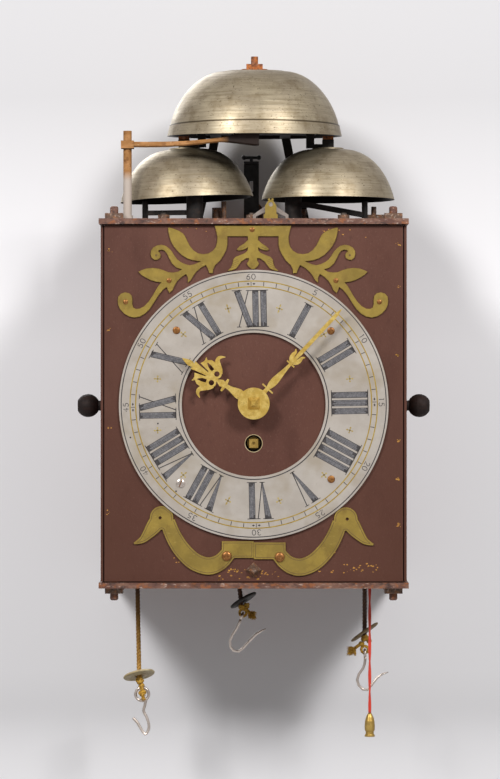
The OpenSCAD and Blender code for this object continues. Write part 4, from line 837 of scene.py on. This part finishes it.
class WALLCLOCK_OT_hooks(bpy.types.Operator):
    """Bends the two wire hooks whose eyes are seen from the edge"""

    bl_idname = "wallclock.hooks"
    bl_label = "Hooks"

    def execute(self, context):
        for node, line in WIRES.items():
            wire = Shape()
            top = Vector((line[0][0], ROPE_Y, line[0][1]))
            down = (Vector((line[1][0], ROPE_Y, line[1][1])) - top).normalized()
            path, steps = [], 18
            for i in range(steps + 1):
                turn = math.radians(-128 + 308 * i / steps)
                out = Vector((0, 1, 0)) * math.sin(turn)
                path.append(dial(*(top + EYE_R * (out + down * (1 - math.cos(turn))))))
            path += [dial(x, ROPE_Y, z) for x, z in line[1:]]
            radii = [WIRE_R / 1000] * len(path)
            radii[-2:] = [0.0009, 0.0004]
            wire.tube(path, radii, 12)
            wire = wire.piece(node + "_wire", FINISHES["steel"], "steel", node + "_body", True)
            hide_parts(node)
        return {"FINISHED"}


class WALLCLOCK_OT_ropes(bpy.types.Operator):
    """Lays the three ropes with their knots and loose ends, and the twisted pull cord"""

    bl_idname = "wallclock.ropes"
    bl_label = "Ropes and cord"

    def execute(self, context):
        sizes = context.scene.wallclock_ropes
        for seed, (name, route, coat, knot, pivot, way, loose) in enumerate(ROPES):
            path = [dial(*p) for p in spline(route)]
            rope = Shape()
            laid_strands(rope, path, sizes.rope_diameter * ROPE_SPREAD, 3, 0.0085)
            rope = rope.piece(name + "_rope_strands", FINISHES[coat], coat, smooth=True)
            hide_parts(name + "_rope")
            tied = self.tie(name, knot, pivot, way, loose, seed)
            tied.append(bpy.data.objects[f"rope_disc_{seed + 1}"])
            self.declare(rope, path, sizes.rope_diameter, "knot", "medium", tied)
        path = [dial(*p) for p in spline(PULL_ROUTE, 6)]
        silk = Shape()
        laid_strands(silk, path, sizes.cord_diameter * CORD_SPREAD, 2, 0.05)
        silk = silk.piece("pull_cord_twist", FINISHES["red_silk"], "red_silk", "pull_body", True)
        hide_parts("pull_cord")
        weight = [frame["nodes"]["pull_weight"]]
        self.declare(silk, path, sizes.cord_diameter, "fitting", "limp", weight)
        return {"FINISHED"}

    def declare(self, cord, path, diameter, far_end, stiffness, pieces):
        """Takes a hanging cord, its route and the pieces on it, and does nothing more."""

    def tie(self, name, knot, pivot, way, loose, seed):
        """The knot under a disc: lumps of crossing turns, the loop for the hook's eye, a tuft."""
        turns, loop, tuft = Shape(), Shape(), Shape()
        dice = random.Random(40 + seed)
        steps = [2 * math.pi * i / 24 for i in range(25)]
        for x, z, r in LUMPS[name]:
            for _ in range(4):
                lean, deep_lean = dice.uniform(-1.2, 1.2), dice.uniform(-0.6, 0.6)
                reach, circle = r - 1.2, []
                for t in steps:
                    across, deep = reach * math.cos(t), reach * math.sin(t)
                    circle.append(
                        dial(
                            x + across * math.cos(lean),
                            ROPE_Y + deep,
                            z + across * math.sin(lean) + deep * math.sin(deep_lean),
                        )
                    )
                laid_strands(turns, circle, KNOT_ROPE, 3, KNOT_PITCH)
        circle = []
        for t in steps:
            side, up = LOOP_R * math.sin(t), LOOP_R * math.cos(t)
            over, deep = (side, 0) if name in EDGE_ON else (0, side)
            circle.append(dial(pivot[0] + over, ROPE_Y + deep, pivot[1] + up))
        laid_strands(loop, circle, 0.00125, 3, KNOT_PITCH)
        x, z, reach = way
        start = dial(knot[0], ROPE_Y, knot[1])
        end = dial(x, ROPE_Y - 1.5, z)
        laid_strands(tuft, [start, start.lerp(end, 0.5), end], 0.0015, 3, KNOT_PITCH)
        frayed(tuft, end, end - start, reach / 1000, 0.85, loose, seed)
        # The knots take the hemp finish that is painted brighter as painted light
        pieces = [
            shape.piece(f"{name}_{part}", FINISHES["loose_hemp"], "rope", smooth=True)
            for part, shape in (("knot", turns), ("loop", loop), ("tuft", tuft))
        ]
        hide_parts("rope_knots")
        return pieces


def band(shape, radius, width, front, back, count=180):
    """A thin ring round the ring's middle."""
    line = [around(360 * i / count, 0, radius) for i in range(count)]
    shape.strip(line, width, front, back, closed=True)


def dot(shape, middle, radius, front, back):
    """A small round spot across and up the dial."""
    shape.plate(arc(middle, (radius, radius), 0, 330, 11), front, back)


# Radii in mm of the ring's outlines, its two gold lines and the small crosses between the hours
OUTER_LINE, INNER_LINE = 108.6, 61.3
GOLD_LINES = (101.3, 96.7)
CROSSES = 81.5
# Three dark pits in the ring
PITS = ((-78.5, -16.5), (-101, -27.9), (-63.6, -72))


class WALLCLOCK_OT_ring_lines(bpy.types.Operator):
    """Draws the black and gold rings, the minute strokes and the small marks of the ring"""

    bl_idname = "wallclock.ring_lines"
    bl_label = "Ring lines"

    def execute(self, context):
        width = context.scene.wallclock_dial.line_width
        black, gold = Shape(), Shape()
        top, bottom = RING_FACE - PROUD, RING_FACE + SUNK
        band(black, OUTER_LINE, width * 1.35, top, bottom)
        band(black, INNER_LINE, width * 1.5, top, bottom)
        for r in GOLD_LINES:
            band(gold, r, width * 1.5, top, bottom)
        for minute in range(60):
            angle = 6 * minute + RING_TURN
            if minute % 15:
                line = [around(angle, 0, r) for r in (97.3, 100.7)]
                black.strip(line, width, top, bottom)
                continue
            for across in (-2.4, 2.4):
                line = [around(angle, across + u, 99) for u in (-1.1, 0, 1.1)]
                black.strip(line, [0.3, 1.7, 0.3], top, bottom)
            line = [around(angle, 0, r) for r in (97.4, 100.6)]
            black.strip(line, 0.5, top, bottom)
        dice = random.Random(5)
        pale = Shape()
        for half in range(12):
            middle = 30 * half + 15
            lean = dice.uniform(-14, 14)
            for turn in range(4):
                tip = dice.uniform(2.9, 4.2) if turn % 2 == 0 else dice.uniform(2.4, 3.2)
                a = math.radians(90 * turn + lean)
                line = [
                    around(middle, d * math.sin(a), CROSSES + d * math.cos(a))
                    for d in (0.3, 1.1, 1.5, 2.1, tip)
                ]
                pale.strip(line, [1.0, 0.5, 0.7, 1.6, 0.3], top, bottom)
            dot(pale, around(middle, 0, CROSSES), 0.7, top, bottom)
        for pit in PITS:
            dot(black, pit, 0.75, top, bottom)
        black.piece("ring_black_lines", FINISHES["wax"], "black_iron")
        gold.piece("ring_gold_lines", FINISHES["gold_line"], "aged_brass")
        pale.piece("ring_crosses", FINISHES["pale_gold"], "aged_brass")
        return {"FINISHED"}


# Strokes of the minute figures in a box 0.62 wide and 1 high
FIGURES = {
    "0": [arc((0.31, 0.5), (0.27, 0.47), 80, 440, 16)],
    "1": [[(0.2, 0.86), (0.33, 0.98), (0.33, 0.02)]],
    "2": [arc((0.29, 0.72), (0.24, 0.26), 165, -35, 9) + [(0.08, 0.04), (0.58, 0.06)]],
    "3": [
        arc((0.27, 0.74), (0.23, 0.24), 150, -75, 9),
        arc((0.27, 0.27), (0.27, 0.26), 80, -150, 9),
    ],
    "4": [[(0.44, 0.02), (0.44, 0.98), (0.06, 0.34), (0.6, 0.34)]],
    "5": [
        [(0.52, 0.96), (0.16, 0.94), (0.13, 0.56)]
        + arc((0.28, 0.32), (0.27, 0.3), 125, -150, 10),
    ],
    "6": [
        [(0.5, 0.94), (0.28, 0.84), (0.1, 0.5)]
        + arc((0.31, 0.3), (0.24, 0.28), 165, -185, 14),
    ],
}


# Radius in mm on which the minute figures stand
FIGURE_FOOT = 102.5


class WALLCLOCK_OT_minute_figures(bpy.types.Operator):
    """Engraves the minute figures round the rim, every five minutes"""

    bl_idname = "wallclock.minute_figures"
    bl_label = "Minute figures"

    def execute(self, context):
        height = context.scene.wallclock_dial.minute_figure
        figures = Shape()
        for minute in range(5, 65, 5):
            text = str(minute)
            step = height * 0.92
            start = -(step * len(text) - height * 0.16) / 2
            for k, figure in enumerate(text):
                at = start + k * step
                for line in FIGURES[figure]:
                    route = [
                        around(
                            6 * minute + RING_TURN, at + 1.2 * u * height, FIGURE_FOOT + v * height
                        )
                        for u, v in line
                    ]
                    figures.strip(route, 0.55, RING_FACE - PROUD, RING_FACE + SUNK)
        figures.piece("minute_figures", FINISHES["wax"], "black_iron")
        return {"FINISHED"}


# Each hour's letters, and how far they are set from the middle of their hour, in mm
HOURS = [
    ("I", 0.0), ("II", 0.0), ("III", 0.0), ("IIII", 0.0), ("V", 0.0), ("VI", -4.0),
    ("VII", 0.0), ("VIII", 0.0), ("IX", 0.0), ("X", 0.0), ("XI", -2.2), ("XII", -1.2),
]
# Width of each letter with its gap, and the radii of the letters' feet and heads, in mm
LETTER_STEP = {"I": 6.6, "V": 13.4, "X": 14.8}
FOOT, HEAD = 63.8, 93.6


class WALLCLOCK_OT_hour_figures(bpy.types.Operator):
    """Engraves the Roman hours, with thick and thin strokes and fine end lines"""

    bl_idname = "wallclock.hour_figures"
    bl_label = "Hour figures"

    def execute(self, context):
        thick = context.scene.wallclock_dial.thick_stroke
        wax, worn = Shape(), Shape()
        dice = random.Random(7)
        for hour, (text, shift) in enumerate(HOURS, 1):
            total = sum(LETTER_STEP[c] for c in text) - 2.2
            at = shift - total / 2
            angle = 30 * hour + RING_TURN
            for letter in text:
                for head, foot, wide, narrow in self.strokes(letter, at, thick):
                    self.stroke(wax, worn, dice, angle, (head, foot), (wide, narrow))
                at += LETTER_STEP[letter]
        wax.piece("hour_figures", FINISHES["wax"], "black_iron")
        worn.piece("hour_figure_streaks", FINISHES["worn_wax"], "black_iron")
        return {"FINISHED"}

    def strokes(self, letter, at, thick):
        """The strokes of a letter: its middle at the head and the foot, and its width at both."""
        if letter == "I":
            return [(at + thick / 2, at + thick / 2, thick, thick)]
        if letter == "V":
            return [(at + 2.8, at + 7.4, 5.6, 1.0), (at + 11.2, at + 7.6, 0.8, 0.8)]
        lean = -(at + 6) * (1 - FOOT / HEAD)
        return [
            (at + 2.2, at + 10.4 + lean, thick, thick),
            (at + 11.6, at + 1.0 + lean, 0.8, 0.8),
        ]

    def stroke(self, wax, worn, dice, angle, ends, widths):
        """One stroke with its end lines, and streaks of worn wax where it is thick."""
        top, bottom = RING_FACE - 0.04, RING_FACE + 0.2
        line = [around(angle, ends[0], HEAD), around(angle, ends[1], FOOT)]
        wax.strip(line, list(widths), top, bottom)
        for across, out, wide in ((ends[0], HEAD, widths[0]), (ends[1], FOOT, widths[1])):
            reach = wide / 2 + 1.5
            serif = [around(angle, across + u, out) for u in (-reach, reach)]
            wax.strip(serif, 0.6, top, bottom)
        if max(widths) < 2:
            return
        for k in range(4):
            share = (k - 1.5) / 4.7 + dice.uniform(-0.02, 0.02)
            streak, wide = [], []
            start, end = dice.uniform(0.02, 0.12), dice.uniform(0.86, 0.98)
            for i in range(9):
                t = start + (end - start) * i / 8
                w = widths[0] + (widths[1] - widths[0]) * t
                across = ends[0] + (ends[1] - ends[0]) * t + share * w
                streak.append(around(angle, across, HEAD + (FOOT - HEAD) * t))
                wide.append(w * 0.2 * dice.uniform(0.7, 1.05))
            worn.strip(streak, wide, top - 0.03, bottom)


def front_loops(node, height):
    """The outlines of a sheet's front face, across and up the dial, read from its CAD mesh."""
    mesh = frame["nodes"][node].data
    front = (height - FACE_TO_WALL) / 1000
    keys, uses = {}, {}
    for face in mesh.polygons:
        if all(abs(mesh.vertices[v].co.y - front) < 2e-5 for v in face.vertices):
            corners = []
            for v in face.vertices:
                co = mesh.vertices[v].co
                key = (round(co.x * 1e5), round(co.z * 1e5))
                keys[key] = (co.x * 1000, co.z * 1000 + DIAL_TO_HOOK)
                corners.append(key)
            for a, b in zip(corners, corners[1:] + corners[:1]):
                uses[(a, b)] = uses.get((a, b), 0) + 1
    after = {a: b for a, b in uses if (b, a) not in uses}
    loops = []
    while after:
        start, line = next(iter(after)), []
        key = start
        while key in after:
            line.append(keys[key])
            key = after.pop(key)
        loops.append(line)
    return loops


def inset_lines(loops, depth, step=0.7):
    """Lines inside outlines at a depth, left out where the sheet is too narrow for them."""
    rim = []
    for loop in loops:
        points = []
        for (ax, az), (bx, bz) in zip(loop, loop[1:] + loop[:1]):
            n = max(1, round(math.hypot(bx - ax, bz - az) / step))
            points += [(ax + (bx - ax) * i / n, az + (bz - az) * i / n) for i in range(n)]
        rim.append(points)
    every = [p for points in rim for p in points]
    lines = []
    for points in rim:
        n, line = len(points), []
        for i in range(n):
            (ax, az), (bx, bz) = points[i - 1], points[(i + 1) % n]
            length = math.hypot(bx - ax, bz - az) or 1
            x = points[i][0] - (bz - az) / length * depth
            z = points[i][1] + (bx - ax) / length * depth
            near = min((x - px) ** 2 + (z - pz) ** 2 for px, pz in every)
            if near > (0.94 * depth) ** 2:
                line.append((x, z))
            else:
                if len(line) > 4:
                    lines.append(line)
                line = []
        if len(line) > 4:
            lines.append(line)
    return lines


# Outline of the ornament's left half, from the middle of its bar round to the drop, in mm
ORNAMENT = [
    (0, 145.8), (-31.4, 145.8), (-30.2, 141.3), (-29.2, 136.2), (-29.5, 131.8), (-30.6, 128.1),
    (-32.8, 125.2), (-36.4, 123), (-40.8, 122.3), (-45.2, 123.1), (-48.9, 125.6), (-51.8, 129.2),
    (-54, 133.6), (-55.8, 137.3), (-57.3, 139.3), (-59.8, 141.1), (-62.8, 142.4), (-65.7, 143.5),
    (-68.5, 144.2), (-69.7, 144), (-69.5, 141.3), (-68.6, 136.9), (-67.2, 132.5), (-65, 128.7),
    (-62, 125), (-58.4, 121.5), (-54, 118.8), (-49.6, 117.3), (-45.2, 116.6), (-42.6, 116.6),
    (-45.2, 115.3), (-48.1, 114.1), (-51.8, 113.3), (-55.4, 114.1), (-59.1, 115.8), (-62, 118),
    (-64.2, 120.9), (-66.4, 124.5), (-68.6, 127), (-71.6, 129.2), (-75.2, 130.1), (-78.9, 129.4),
    (-81.8, 127.8), (-83.6, 125.2), (-84, 122.3), (-83.1, 119.3), (-80.7, 117.5), (-78.1, 117.7),
    (-76.1, 119.2), (-75.5, 121.5), (-76.3, 123.4), (-77.8, 124.8), (-76.7, 125.6), (-74.5, 125.9),
    (-72.4, 125), (-70.5, 122.6), (-68.6, 118.6), (-66.4, 114.6), (-62.8, 111.3), (-58.4, 109.7),
    (-61.3, 108), (-65.7, 107.3), (-69.4, 107.6), (-73, 109.1), (-77.4, 110.5), (-82.5, 111.1),
    (-87.7, 110.5), (-91.7, 109.1), (-94, 107.8), (-91.3, 105.1), (-87.7, 102.9), (-84, 101),
    (-79.6, 99.7), (-75.1, 99.1), (-77.4, 96.6), (-79.6, 93), (-82.5, 87.9), (-85.5, 83.5),
    (-89.1, 79.7), (-92.8, 77.7), (-96.1, 77.5), (-98.1, 78.6), (-98.9, 81.3), (-98.8, 84.9),
    (-99.4, 88.2), (-101.4, 90.3), (-104.8, 91.1), (-108.2, 90), (-110.4, 87.5), (-110.9, 84.2),
    (-110.5, 80.5), (-108.9, 77.2), (-105.6, 73.5), (-101.6, 71.2), (-97.5, 70.3), (-92.8, 71),
    (-88.4, 73.6), (-84.7, 77.2), (-81.1, 82.7), (-77.4, 88.6), (-73.8, 93), (-70.6, 95.3),
    (-69.9, 93), (-68.5, 90.3), (-65.8, 92.8), (-64.2, 96.6), (-62, 100.2), (-58.4, 103.7),
    (-54.9, 105.9), (-53.4, 103.2), (-53.5, 98.8), (-51.1, 100.7), (-48.9, 104.5), (-46.7, 107.5),
    (-43, 110.8), (-38.6, 113.3), (-37.5, 111.3), (-36.4, 108.7), (-36, 106.9), (-32.8, 106.5),
    (-32.6, 109.8), (-30.9, 113.3), (-26.9, 117.1), (-24, 121.5), (-21.8, 125.9), (-20.9, 130.3),
    (-20.9, 136.9), (-4.3, 136.9), (-4.2, 134), (-7.1, 131.2), (-10.8, 128.9), (-13.3, 126.3),
    (-11.9, 125.2), (-8.6, 125.6), (-5.7, 126.8), (-4.3, 128), (-4.6, 125.2), (-6.4, 123.4),
    (-10.8, 121.5), (-14.4, 120.1), (-16.3, 117.9), (-16.8, 114.2), (-18.1, 111.3), (-21, 108.5),
    (-17.4, 108.9), (-13.7, 110.5), (-11.5, 113.5), (-9.3, 116.4), (-5.7, 118.8), (-3.5, 119),
    (-3.5, 117.1), (-5.1, 114.6), (-4.1, 112.6), (-1.3, 110.1),
]
# Fine cuts across the leaves in the middle
ORNAMENT_CUTS = [
    [(-16.2, 116.4), (-12.6, 118.2)], [(-16.4, 114.6), (-11.6, 116.8)],
    [(-16.9, 112.8), (-12, 115)], [(-17.8, 111), (-13, 112.8)], [(-12.4, 126), (-6.6, 128.4)],
]
# The ornament's middle line, and the pin hole in its upper curl
ORNAMENT_MIDDLE = -0.6
CURL_HOLE = (-79.3, 121.4)
# Pin holes of the two scrolls, where no border line runs
SCROLL_HOLES = {"left_scroll": (-76.7, -93.8), "right_scroll": (76.7, -94.8)}


def inset(outline, depth):
    """The outline moved inwards by a depth, for a bevel; the outline runs anticlockwise."""
    n, moved = len(outline), []
    for i, (x, z) in enumerate(outline):
        a, b = Vector(outline[i - 1]), Vector(outline[(i + 1) % n])
        along = (b - a).normalized()
        moved.append((x - along.y * depth, z + along.x * depth))
    return moved


class WALLCLOCK_OT_engraving(bpy.types.Operator):
    """Cuts the pierced brass ornament and engraves the border lines of the scrolls"""

    bl_idname = "wallclock.engraving"
    bl_label = "Brass work"

    def execute(self, context):
        self.ornament()
        top, bottom = BRASS_FACE - 0.03, BRASS_FACE + SUNK
        for node, hole in SCROLL_HOLES.items():
            grooves = Shape()
            for line in inset_lines(front_loops(node, BRASS_FACE), 1.4):
                if min(math.hypot(x - hole[0], z - hole[1]) for x, z in line) > 3.5:
                    grooves.strip(line, 0.42, top, bottom)
            grooves.piece(node + "_engraving", FINISHES["brass_groove"], "aged_brass")
        return {"FINISHED"}

    def ornament(self):
        """The sheet with its bevelled edge, the cuts in its leaves and the holes in its curls."""
        outline = [(ORNAMENT_MIDDLE + x, z) for x, z in ORNAMENT]
        outline += [(ORNAMENT_MIDDLE - x, z) for x, z in reversed(ORNAMENT[1:])]
        sheet = Shape()
        inner = inset(outline, 0.32)
        sheet.sweep(
            [
                [dial(x, 0.0, z) for x, z in outline],
                [dial(x, BRASS_FACE + 0.3, z) for x, z in outline],
                [dial(x, BRASS_FACE, z) for x, z in inner],
            ]
        )
        sheet = sheet.piece("brass_ornament", FINISHES["aged_brass"], "aged_brass")
        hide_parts("top_ornament")
        cuts = Shape()
        top, bottom = BRASS_FACE - 0.03, BRASS_FACE + SUNK
        for side in (1, -1):
            for line in ORNAMENT_CUTS:
                flat = [(ORNAMENT_MIDDLE + side * x, z) for x, z in line]
                cuts.strip(flat, 0.26, top, bottom)
            x, z = CURL_HOLE
            dot(cuts, (ORNAMENT_MIDDLE + side * x, z), 0.9, top, bottom)
        cuts.piece("ornament_cuts", FINISHES["brass_groove"], "aged_brass")


# Middle, radius in mm and slot's angle in degrees of the ring's screw
RING_SCREW = ((-59.9, -65.4), 3.3, 68)
# How far up the dial the winding hole and the catch's nut are
WINDING_HOLE = -32.8
CATCH = -136.8
# Across and up, reach in mm and count of the groups of chips
CHIPS = [(-16, -138, 7, 14), (8, -139, 10, 16), (-30, -143.6, 3.4, 9), (0, -144.6, 26, 18)]
CHIPS += [(60, -120, 9, 7), (78, -136, 14, 18), (100, -134, 9, 8), (-64, -128, 3, 3)]
CHIPS += [(118.5, z, 2, 5) for z in (130, 96, 40, -30, -62, -100)]
CHIPS += [(-118.5, z, 2, 4) for z in (126, 60, -20, -90)]
CHIPS += [(-60, 143, 30, 8), (70, 142, 34, 8)]


class WALLCLOCK_OT_small_work(bpy.types.Operator):
    """Adds the slotted screw of the ring, the rim of the winding hole and the chips in the paint"""

    bl_idname = "wallclock.small_work"
    bl_label = "Small work"

    def execute(self, context):
        self.screw()
        rim = Shape()
        line = arc((0, WINDING_HOLE), (7.15, 7.15), 0, 352.5, 47)
        rim.strip(line, 0.5, -0.12, 0.3, closed=True)
        rim.piece("winding_hole_rim", FINISHES["leather"], "front_paint")
        self.chips()
        return {"FINISHED"}

    def screw(self):
        """A pale screw head with a slot, over the rivet at the ring's lower left."""
        (x, z), radius, slot = RING_SCREW
        head = Shape()
        for side in (1, -1):
            outline = []
            for i in range(15):
                a = math.radians(slot + 90 * side + (i - 7) * 11.6)
                outline.append((x + radius * math.cos(a), z + radius * math.sin(a)))
            inner = [(x + (px - x) * 0.72, z + (pz - z) * 0.72) for px, pz in outline]
            head.sweep(
                [
                    [dial(px, RING_FACE + 0.1, pz) for px, pz in outline],
                    [dial(px, RING_FACE - 1.0, pz) for px, pz in outline],
                    [dial(px, RING_FACE - 1.45, pz) for px, pz in inner],
                ]
            )
        head.piece("ring_screw", FINISHES["steel"], "steel")

    def chips(self):
        """Flakes of bare ground in the front paint: near the catch, low down and at the edges."""
        dice = random.Random(11)
        flakes = Shape()
        for x, z, reach, count in CHIPS:
            for _ in range(count):
                cx = x + dice.gauss(0, 0.5) * reach
                cz = z + dice.gauss(0, 0.5) * min(reach, 5)
                size = dice.uniform(0.25, 0.95)
                near_catch = math.hypot(cx, cz - CATCH) < 5
                if abs(cx) > 121 or abs(cz) > 144.5 or near_catch:
                    continue
                outline = []
                for k in range(7):
                    a = 2 * math.pi * k / 7
                    r = size * dice.uniform(0.5, 1.2)
                    outline.append((cx + r * 1.3 * math.cos(a), cz + r * 0.8 * math.sin(a)))
                flakes.plate(outline, -0.03, 0.15)
        flakes.piece("paint_chips", FINISHES["chip"], "front_paint")


# Pieces that look different from others with the same slot
OWN_FINISH = {
    "bell_bolts": "orange_rust",
    "left_hammer": "dark_iron",
    "right_hammer": "dark_iron",
    "bell_stand": "dark_iron",
    "frame_fixings": "nut_iron",
}


class WALLCLOCK_OT_finishes(bpy.types.Operator):
    """Gives every piece of the frame the finish of its slot in the record"""

    bl_idname = "wallclock.finishes"
    bl_label = "Finishes"

    def execute(self, context):
        slots = {s["node"]: s["material_slot"] for s in frame["record"]["subparts"]}
        for node, part in frame["nodes"].items():
            part.data.materials.clear()
            part.data.materials.append(FINISHES[OWN_FINISH.get(node, slots[node])])
        return {"FINISHED"}


# --- Studio ------------------------------------------------------------------------------------


# How far the wall is behind the clock and the floor below it, in metres
WALL_GAP = 0.001
FLOOR_DROP = 0.35
# The camera of the photograph: focal length and size of the picture in its points, distance in
# front of the wall and height, in metres
FOCAL = 3170.7
PICTURE_H = 779
CAMERA_Y, CAMERA_Z = -2.7645, -0.146
AIM = Vector((0, -0.1, -0.2))
LAMP_DISTANCE = 2.5
# Direction, share of the lamps' power and size of each soft box
SOFT_BOXES = {
    "soft_box_left": ((-0.461, -0.698, 0.545), 1.0, 0.56),
    "soft_box_right": ((0.461, -0.698, 0.545), 1.0, 0.56),
    "soft_box_behind": ((-0.35, 0.8, 0.5), 0.6, 1.2),
}


class WALLCLOCK_OT_studio(bpy.types.Operator):
    """Sets the wall, the floor, the lamps and the camera"""

    bl_idname = "wallclock.studio"
    bl_label = "Studio"

    def execute(self, context):
        look = context.scene.wallclock_studio
        low, high = CAD_BOX
        paint = self.one_sided(look.backdrop)
        y, z = high[1] + WALL_GAP, low[2] - FLOOR_DROP
        self.sheet("backdrop_wall", paint, [(-4, y, -1), (4, y, -1), (4, y, 3), (-4, y, 3)])
        self.sheet("studio_floor", paint, [(-4, -5, z), (4, -5, z), (4, 4, z), (-4, 4, z)])
        self.lamps(look)
        self.world(context.scene, look)
        self.camera(context.scene)
        context.scene.view_settings.view_transform = "Standard"
        return {"FINISHED"}

    def one_sided(self, colour):
        """Matt pale paint with painted shade, darker high up and near the floor, seen only from its
        front.
        """
        material = bpy.data.materials.new("matt studio paint")
        material.use_nodes = True
        tree = material.node_tree
        shader = tree.nodes["Principled BSDF"]
        place = add_node(tree, "ShaderNodeTexCoord").outputs["Object"]
        height = add_node(tree, "ShaderNodeSeparateXYZ", {"Vector": place}).outputs["Z"]
        # Painted shade on the backdrop: darker high up and near the floor
        values = {"From Min": -0.12, "From Max": 0.1, "To Min": 0.95, "To Max": 0.63}
        high = add_node(tree, "ShaderNodeMapRange", {"Value": height}, values)
        values = {"From Min": -0.5, "From Max": -0.4, "To Min": 0.86, "To Max": 1.0}
        low = add_node(tree, "ShaderNodeMapRange", {"Value": height}, values)
        wires = {0: high.outputs["Result"], 1: low.outputs["Result"]}
        level = add_node(tree, "ShaderNodeMath", wires, operation="MULTIPLY")
        tint = add_node(tree, "ShaderNodeVectorMath", {1: level.outputs[0]}, operation="MULTIPLY")
        tint.inputs[0].default_value = colour
        tree.links.new(tint.outputs[0], shader.inputs["Base Color"])
        shader.inputs["Roughness"].default_value = 0.9
        shader.inputs["Specular IOR Level"].default_value = 0.1
        side = add_node(tree, "ShaderNodeNewGeometry").outputs["Backfacing"]
        clear = add_node(tree, "ShaderNodeBsdfTransparent").outputs["BSDF"]
        wires = {0: side, 1: shader.outputs["BSDF"], 2: clear}
        mix = add_node(tree, "ShaderNodeMixShader", wires)
        tree.links.new(mix.outputs["Shader"], tree.nodes["Material Output"].inputs["Surface"])
        return material

    def sheet(self, name, material, corners):
        """A flat sheet of the stage."""
        mesh = bpy.data.meshes.new(name)
        mesh.from_pydata(corners, [], [(0, 1, 2, 3)])
        mesh.materials.append(material)
        made = bpy.data.objects.new(name, mesh)
        bpy.context.scene.collection.objects.link(made)
        made.visible_shadow = False
        made.visible_diffuse = False
        if name == "backdrop_wall":
            made.visible_glossy = made.visible_transmission = False
        return made

    def lamps(self, look):
        """Two soft boxes in front, above and to the sides, and a weak one behind."""
        for name, (way, share, size) in SOFT_BOXES.items():
            data = bpy.data.lights.new(name, "AREA")
            data.shape, data.size, data.energy = "SQUARE", size, look.lamp_power * share
            lamp = bpy.data.objects.new(name, data)
            bpy.context.scene.collection.objects.link(lamp)
            lamp.location = AIM + Vector(way).normalized() * LAMP_DISTANCE
            lamp.rotation_euler = (AIM - lamp.location).to_track_quat("-Z", "Y").to_euler()
            lamp.visible_camera = False

    def world(self, scene, look):
        """Even light from all round; the camera, metal and glass see a pale surround."""
        world = scene.world or bpy.data.worlds.new("studio")
        scene.world = world
        world.use_nodes = True
        tree = world.node_tree
        tree.nodes.clear()
        seen = add_node(tree, "ShaderNodeLightPath")
        wires = {0: seen.outputs["Is Camera Ray"], 1: seen.outputs["Is Glossy Ray"]}
        some = add_node(tree, "ShaderNodeMath", wires, operation="MAXIMUM")
        wires = {0: some.outputs[0], 1: seen.outputs["Is Transmission Ray"]}
        either = add_node(tree, "ShaderNodeMath", wires, operation="MAXIMUM")
        light = add_node(tree, "ShaderNodeBackground", None, {"Strength": look.surround})
        light.inputs["Color"].default_value = (1, 1, 1, 1)
        shown = add_node(tree, "ShaderNodeBackground", None, {"Strength": 1.0})
        shown.inputs["Color"].default_value = linear("#dcdadc")
        wires = {0: either.outputs[0], 1: light.outputs[0], 2: shown.outputs[0]}
        mix = add_node(tree, "ShaderNodeMixShader", wires)
        add_node(tree, "ShaderNodeOutputWorld", {"Surface": mix.outputs[0]})

    def camera(self, scene):
        """The photograph's camera: level, a little above the dial's middle."""
        data = bpy.data.cameras.new("camera")
        data.sensor_width = 36
        data.lens = FOCAL * data.sensor_width / PICTURE_H
        data.shift_x, data.shift_y = -3.7 / PICTURE_H, -10.5 / PICTURE_H
        camera = bpy.data.objects.new("camera", data)
        scene.collection.objects.link(camera)
        camera.location = (0, CAMERA_Y, CAMERA_Z)
        camera.rotation_euler = (math.radians(90), 0, 0)
        scene.camera = camera


class WALLCLOCK_PT_panel(bpy.types.Panel):
    """Sizes and steps of the wall clock"""

    bl_idname = "WALLCLOCK_PT_panel"
    bl_label = "Wall clock"
    bl_space_type = "VIEW_3D"
    bl_region_type = "UI"
    bl_category = "Wall clock"

    def draw(self, context):
        for group in SETTINGS:
            settings = getattr(context.scene, group)
            for name in settings.__annotations__:
                self.layout.prop(settings, name)
        for operator in OPERATORS:
            self.layout.operator(operator.bl_idname)


OPERATORS = (
    WALLCLOCK_OT_studio,
    WALLCLOCK_OT_discs,
    WALLCLOCK_OT_hour_hammer,
    WALLCLOCK_OT_hooks,
    WALLCLOCK_OT_ropes,
    WALLCLOCK_OT_finishes,
    WALLCLOCK_OT_ring_lines,
    WALLCLOCK_OT_minute_figures,
    WALLCLOCK_OT_hour_figures,
    WALLCLOCK_OT_engraving,
    WALLCLOCK_OT_small_work,
)
SETTINGS = {
    "wallclock_dial": WallClockDial,
    "wallclock_ropes": WallClockRopes,
    "wallclock_studio": WallClockStudio,
}
CLASSES = (*SETTINGS.values(), *OPERATORS, WALLCLOCK_PT_panel)


def register():
    """Registers the groups, operators and panel."""
    for item in CLASSES:
        bpy.utils.register_class(item)
    for name, group in SETTINGS.items():
        setattr(bpy.types.Scene, name, bpy.props.PointerProperty(type=group))


def unregister():
    """Takes them out again."""
    for name in SETTINGS:
        delattr(bpy.types.Scene, name)
    for item in reversed(CLASSES):
        bpy.utils.unregister_class(item)


def main():
    """Builds everything in order."""
    register()
    mix_finishes()
    for step in (
        bpy.ops.wallclock.studio,
        bpy.ops.wallclock.discs,
        bpy.ops.wallclock.hour_hammer,
        bpy.ops.wallclock.hooks,
        bpy.ops.wallclock.ropes,
        bpy.ops.wallclock.finishes,
        bpy.ops.wallclock.ring_lines,
        bpy.ops.wallclock.minute_figures,
        bpy.ops.wallclock.hour_figures,
        bpy.ops.wallclock.engraving,
        bpy.ops.wallclock.small_work,
    ):
        step()


if __name__ == "__main__":
    main()
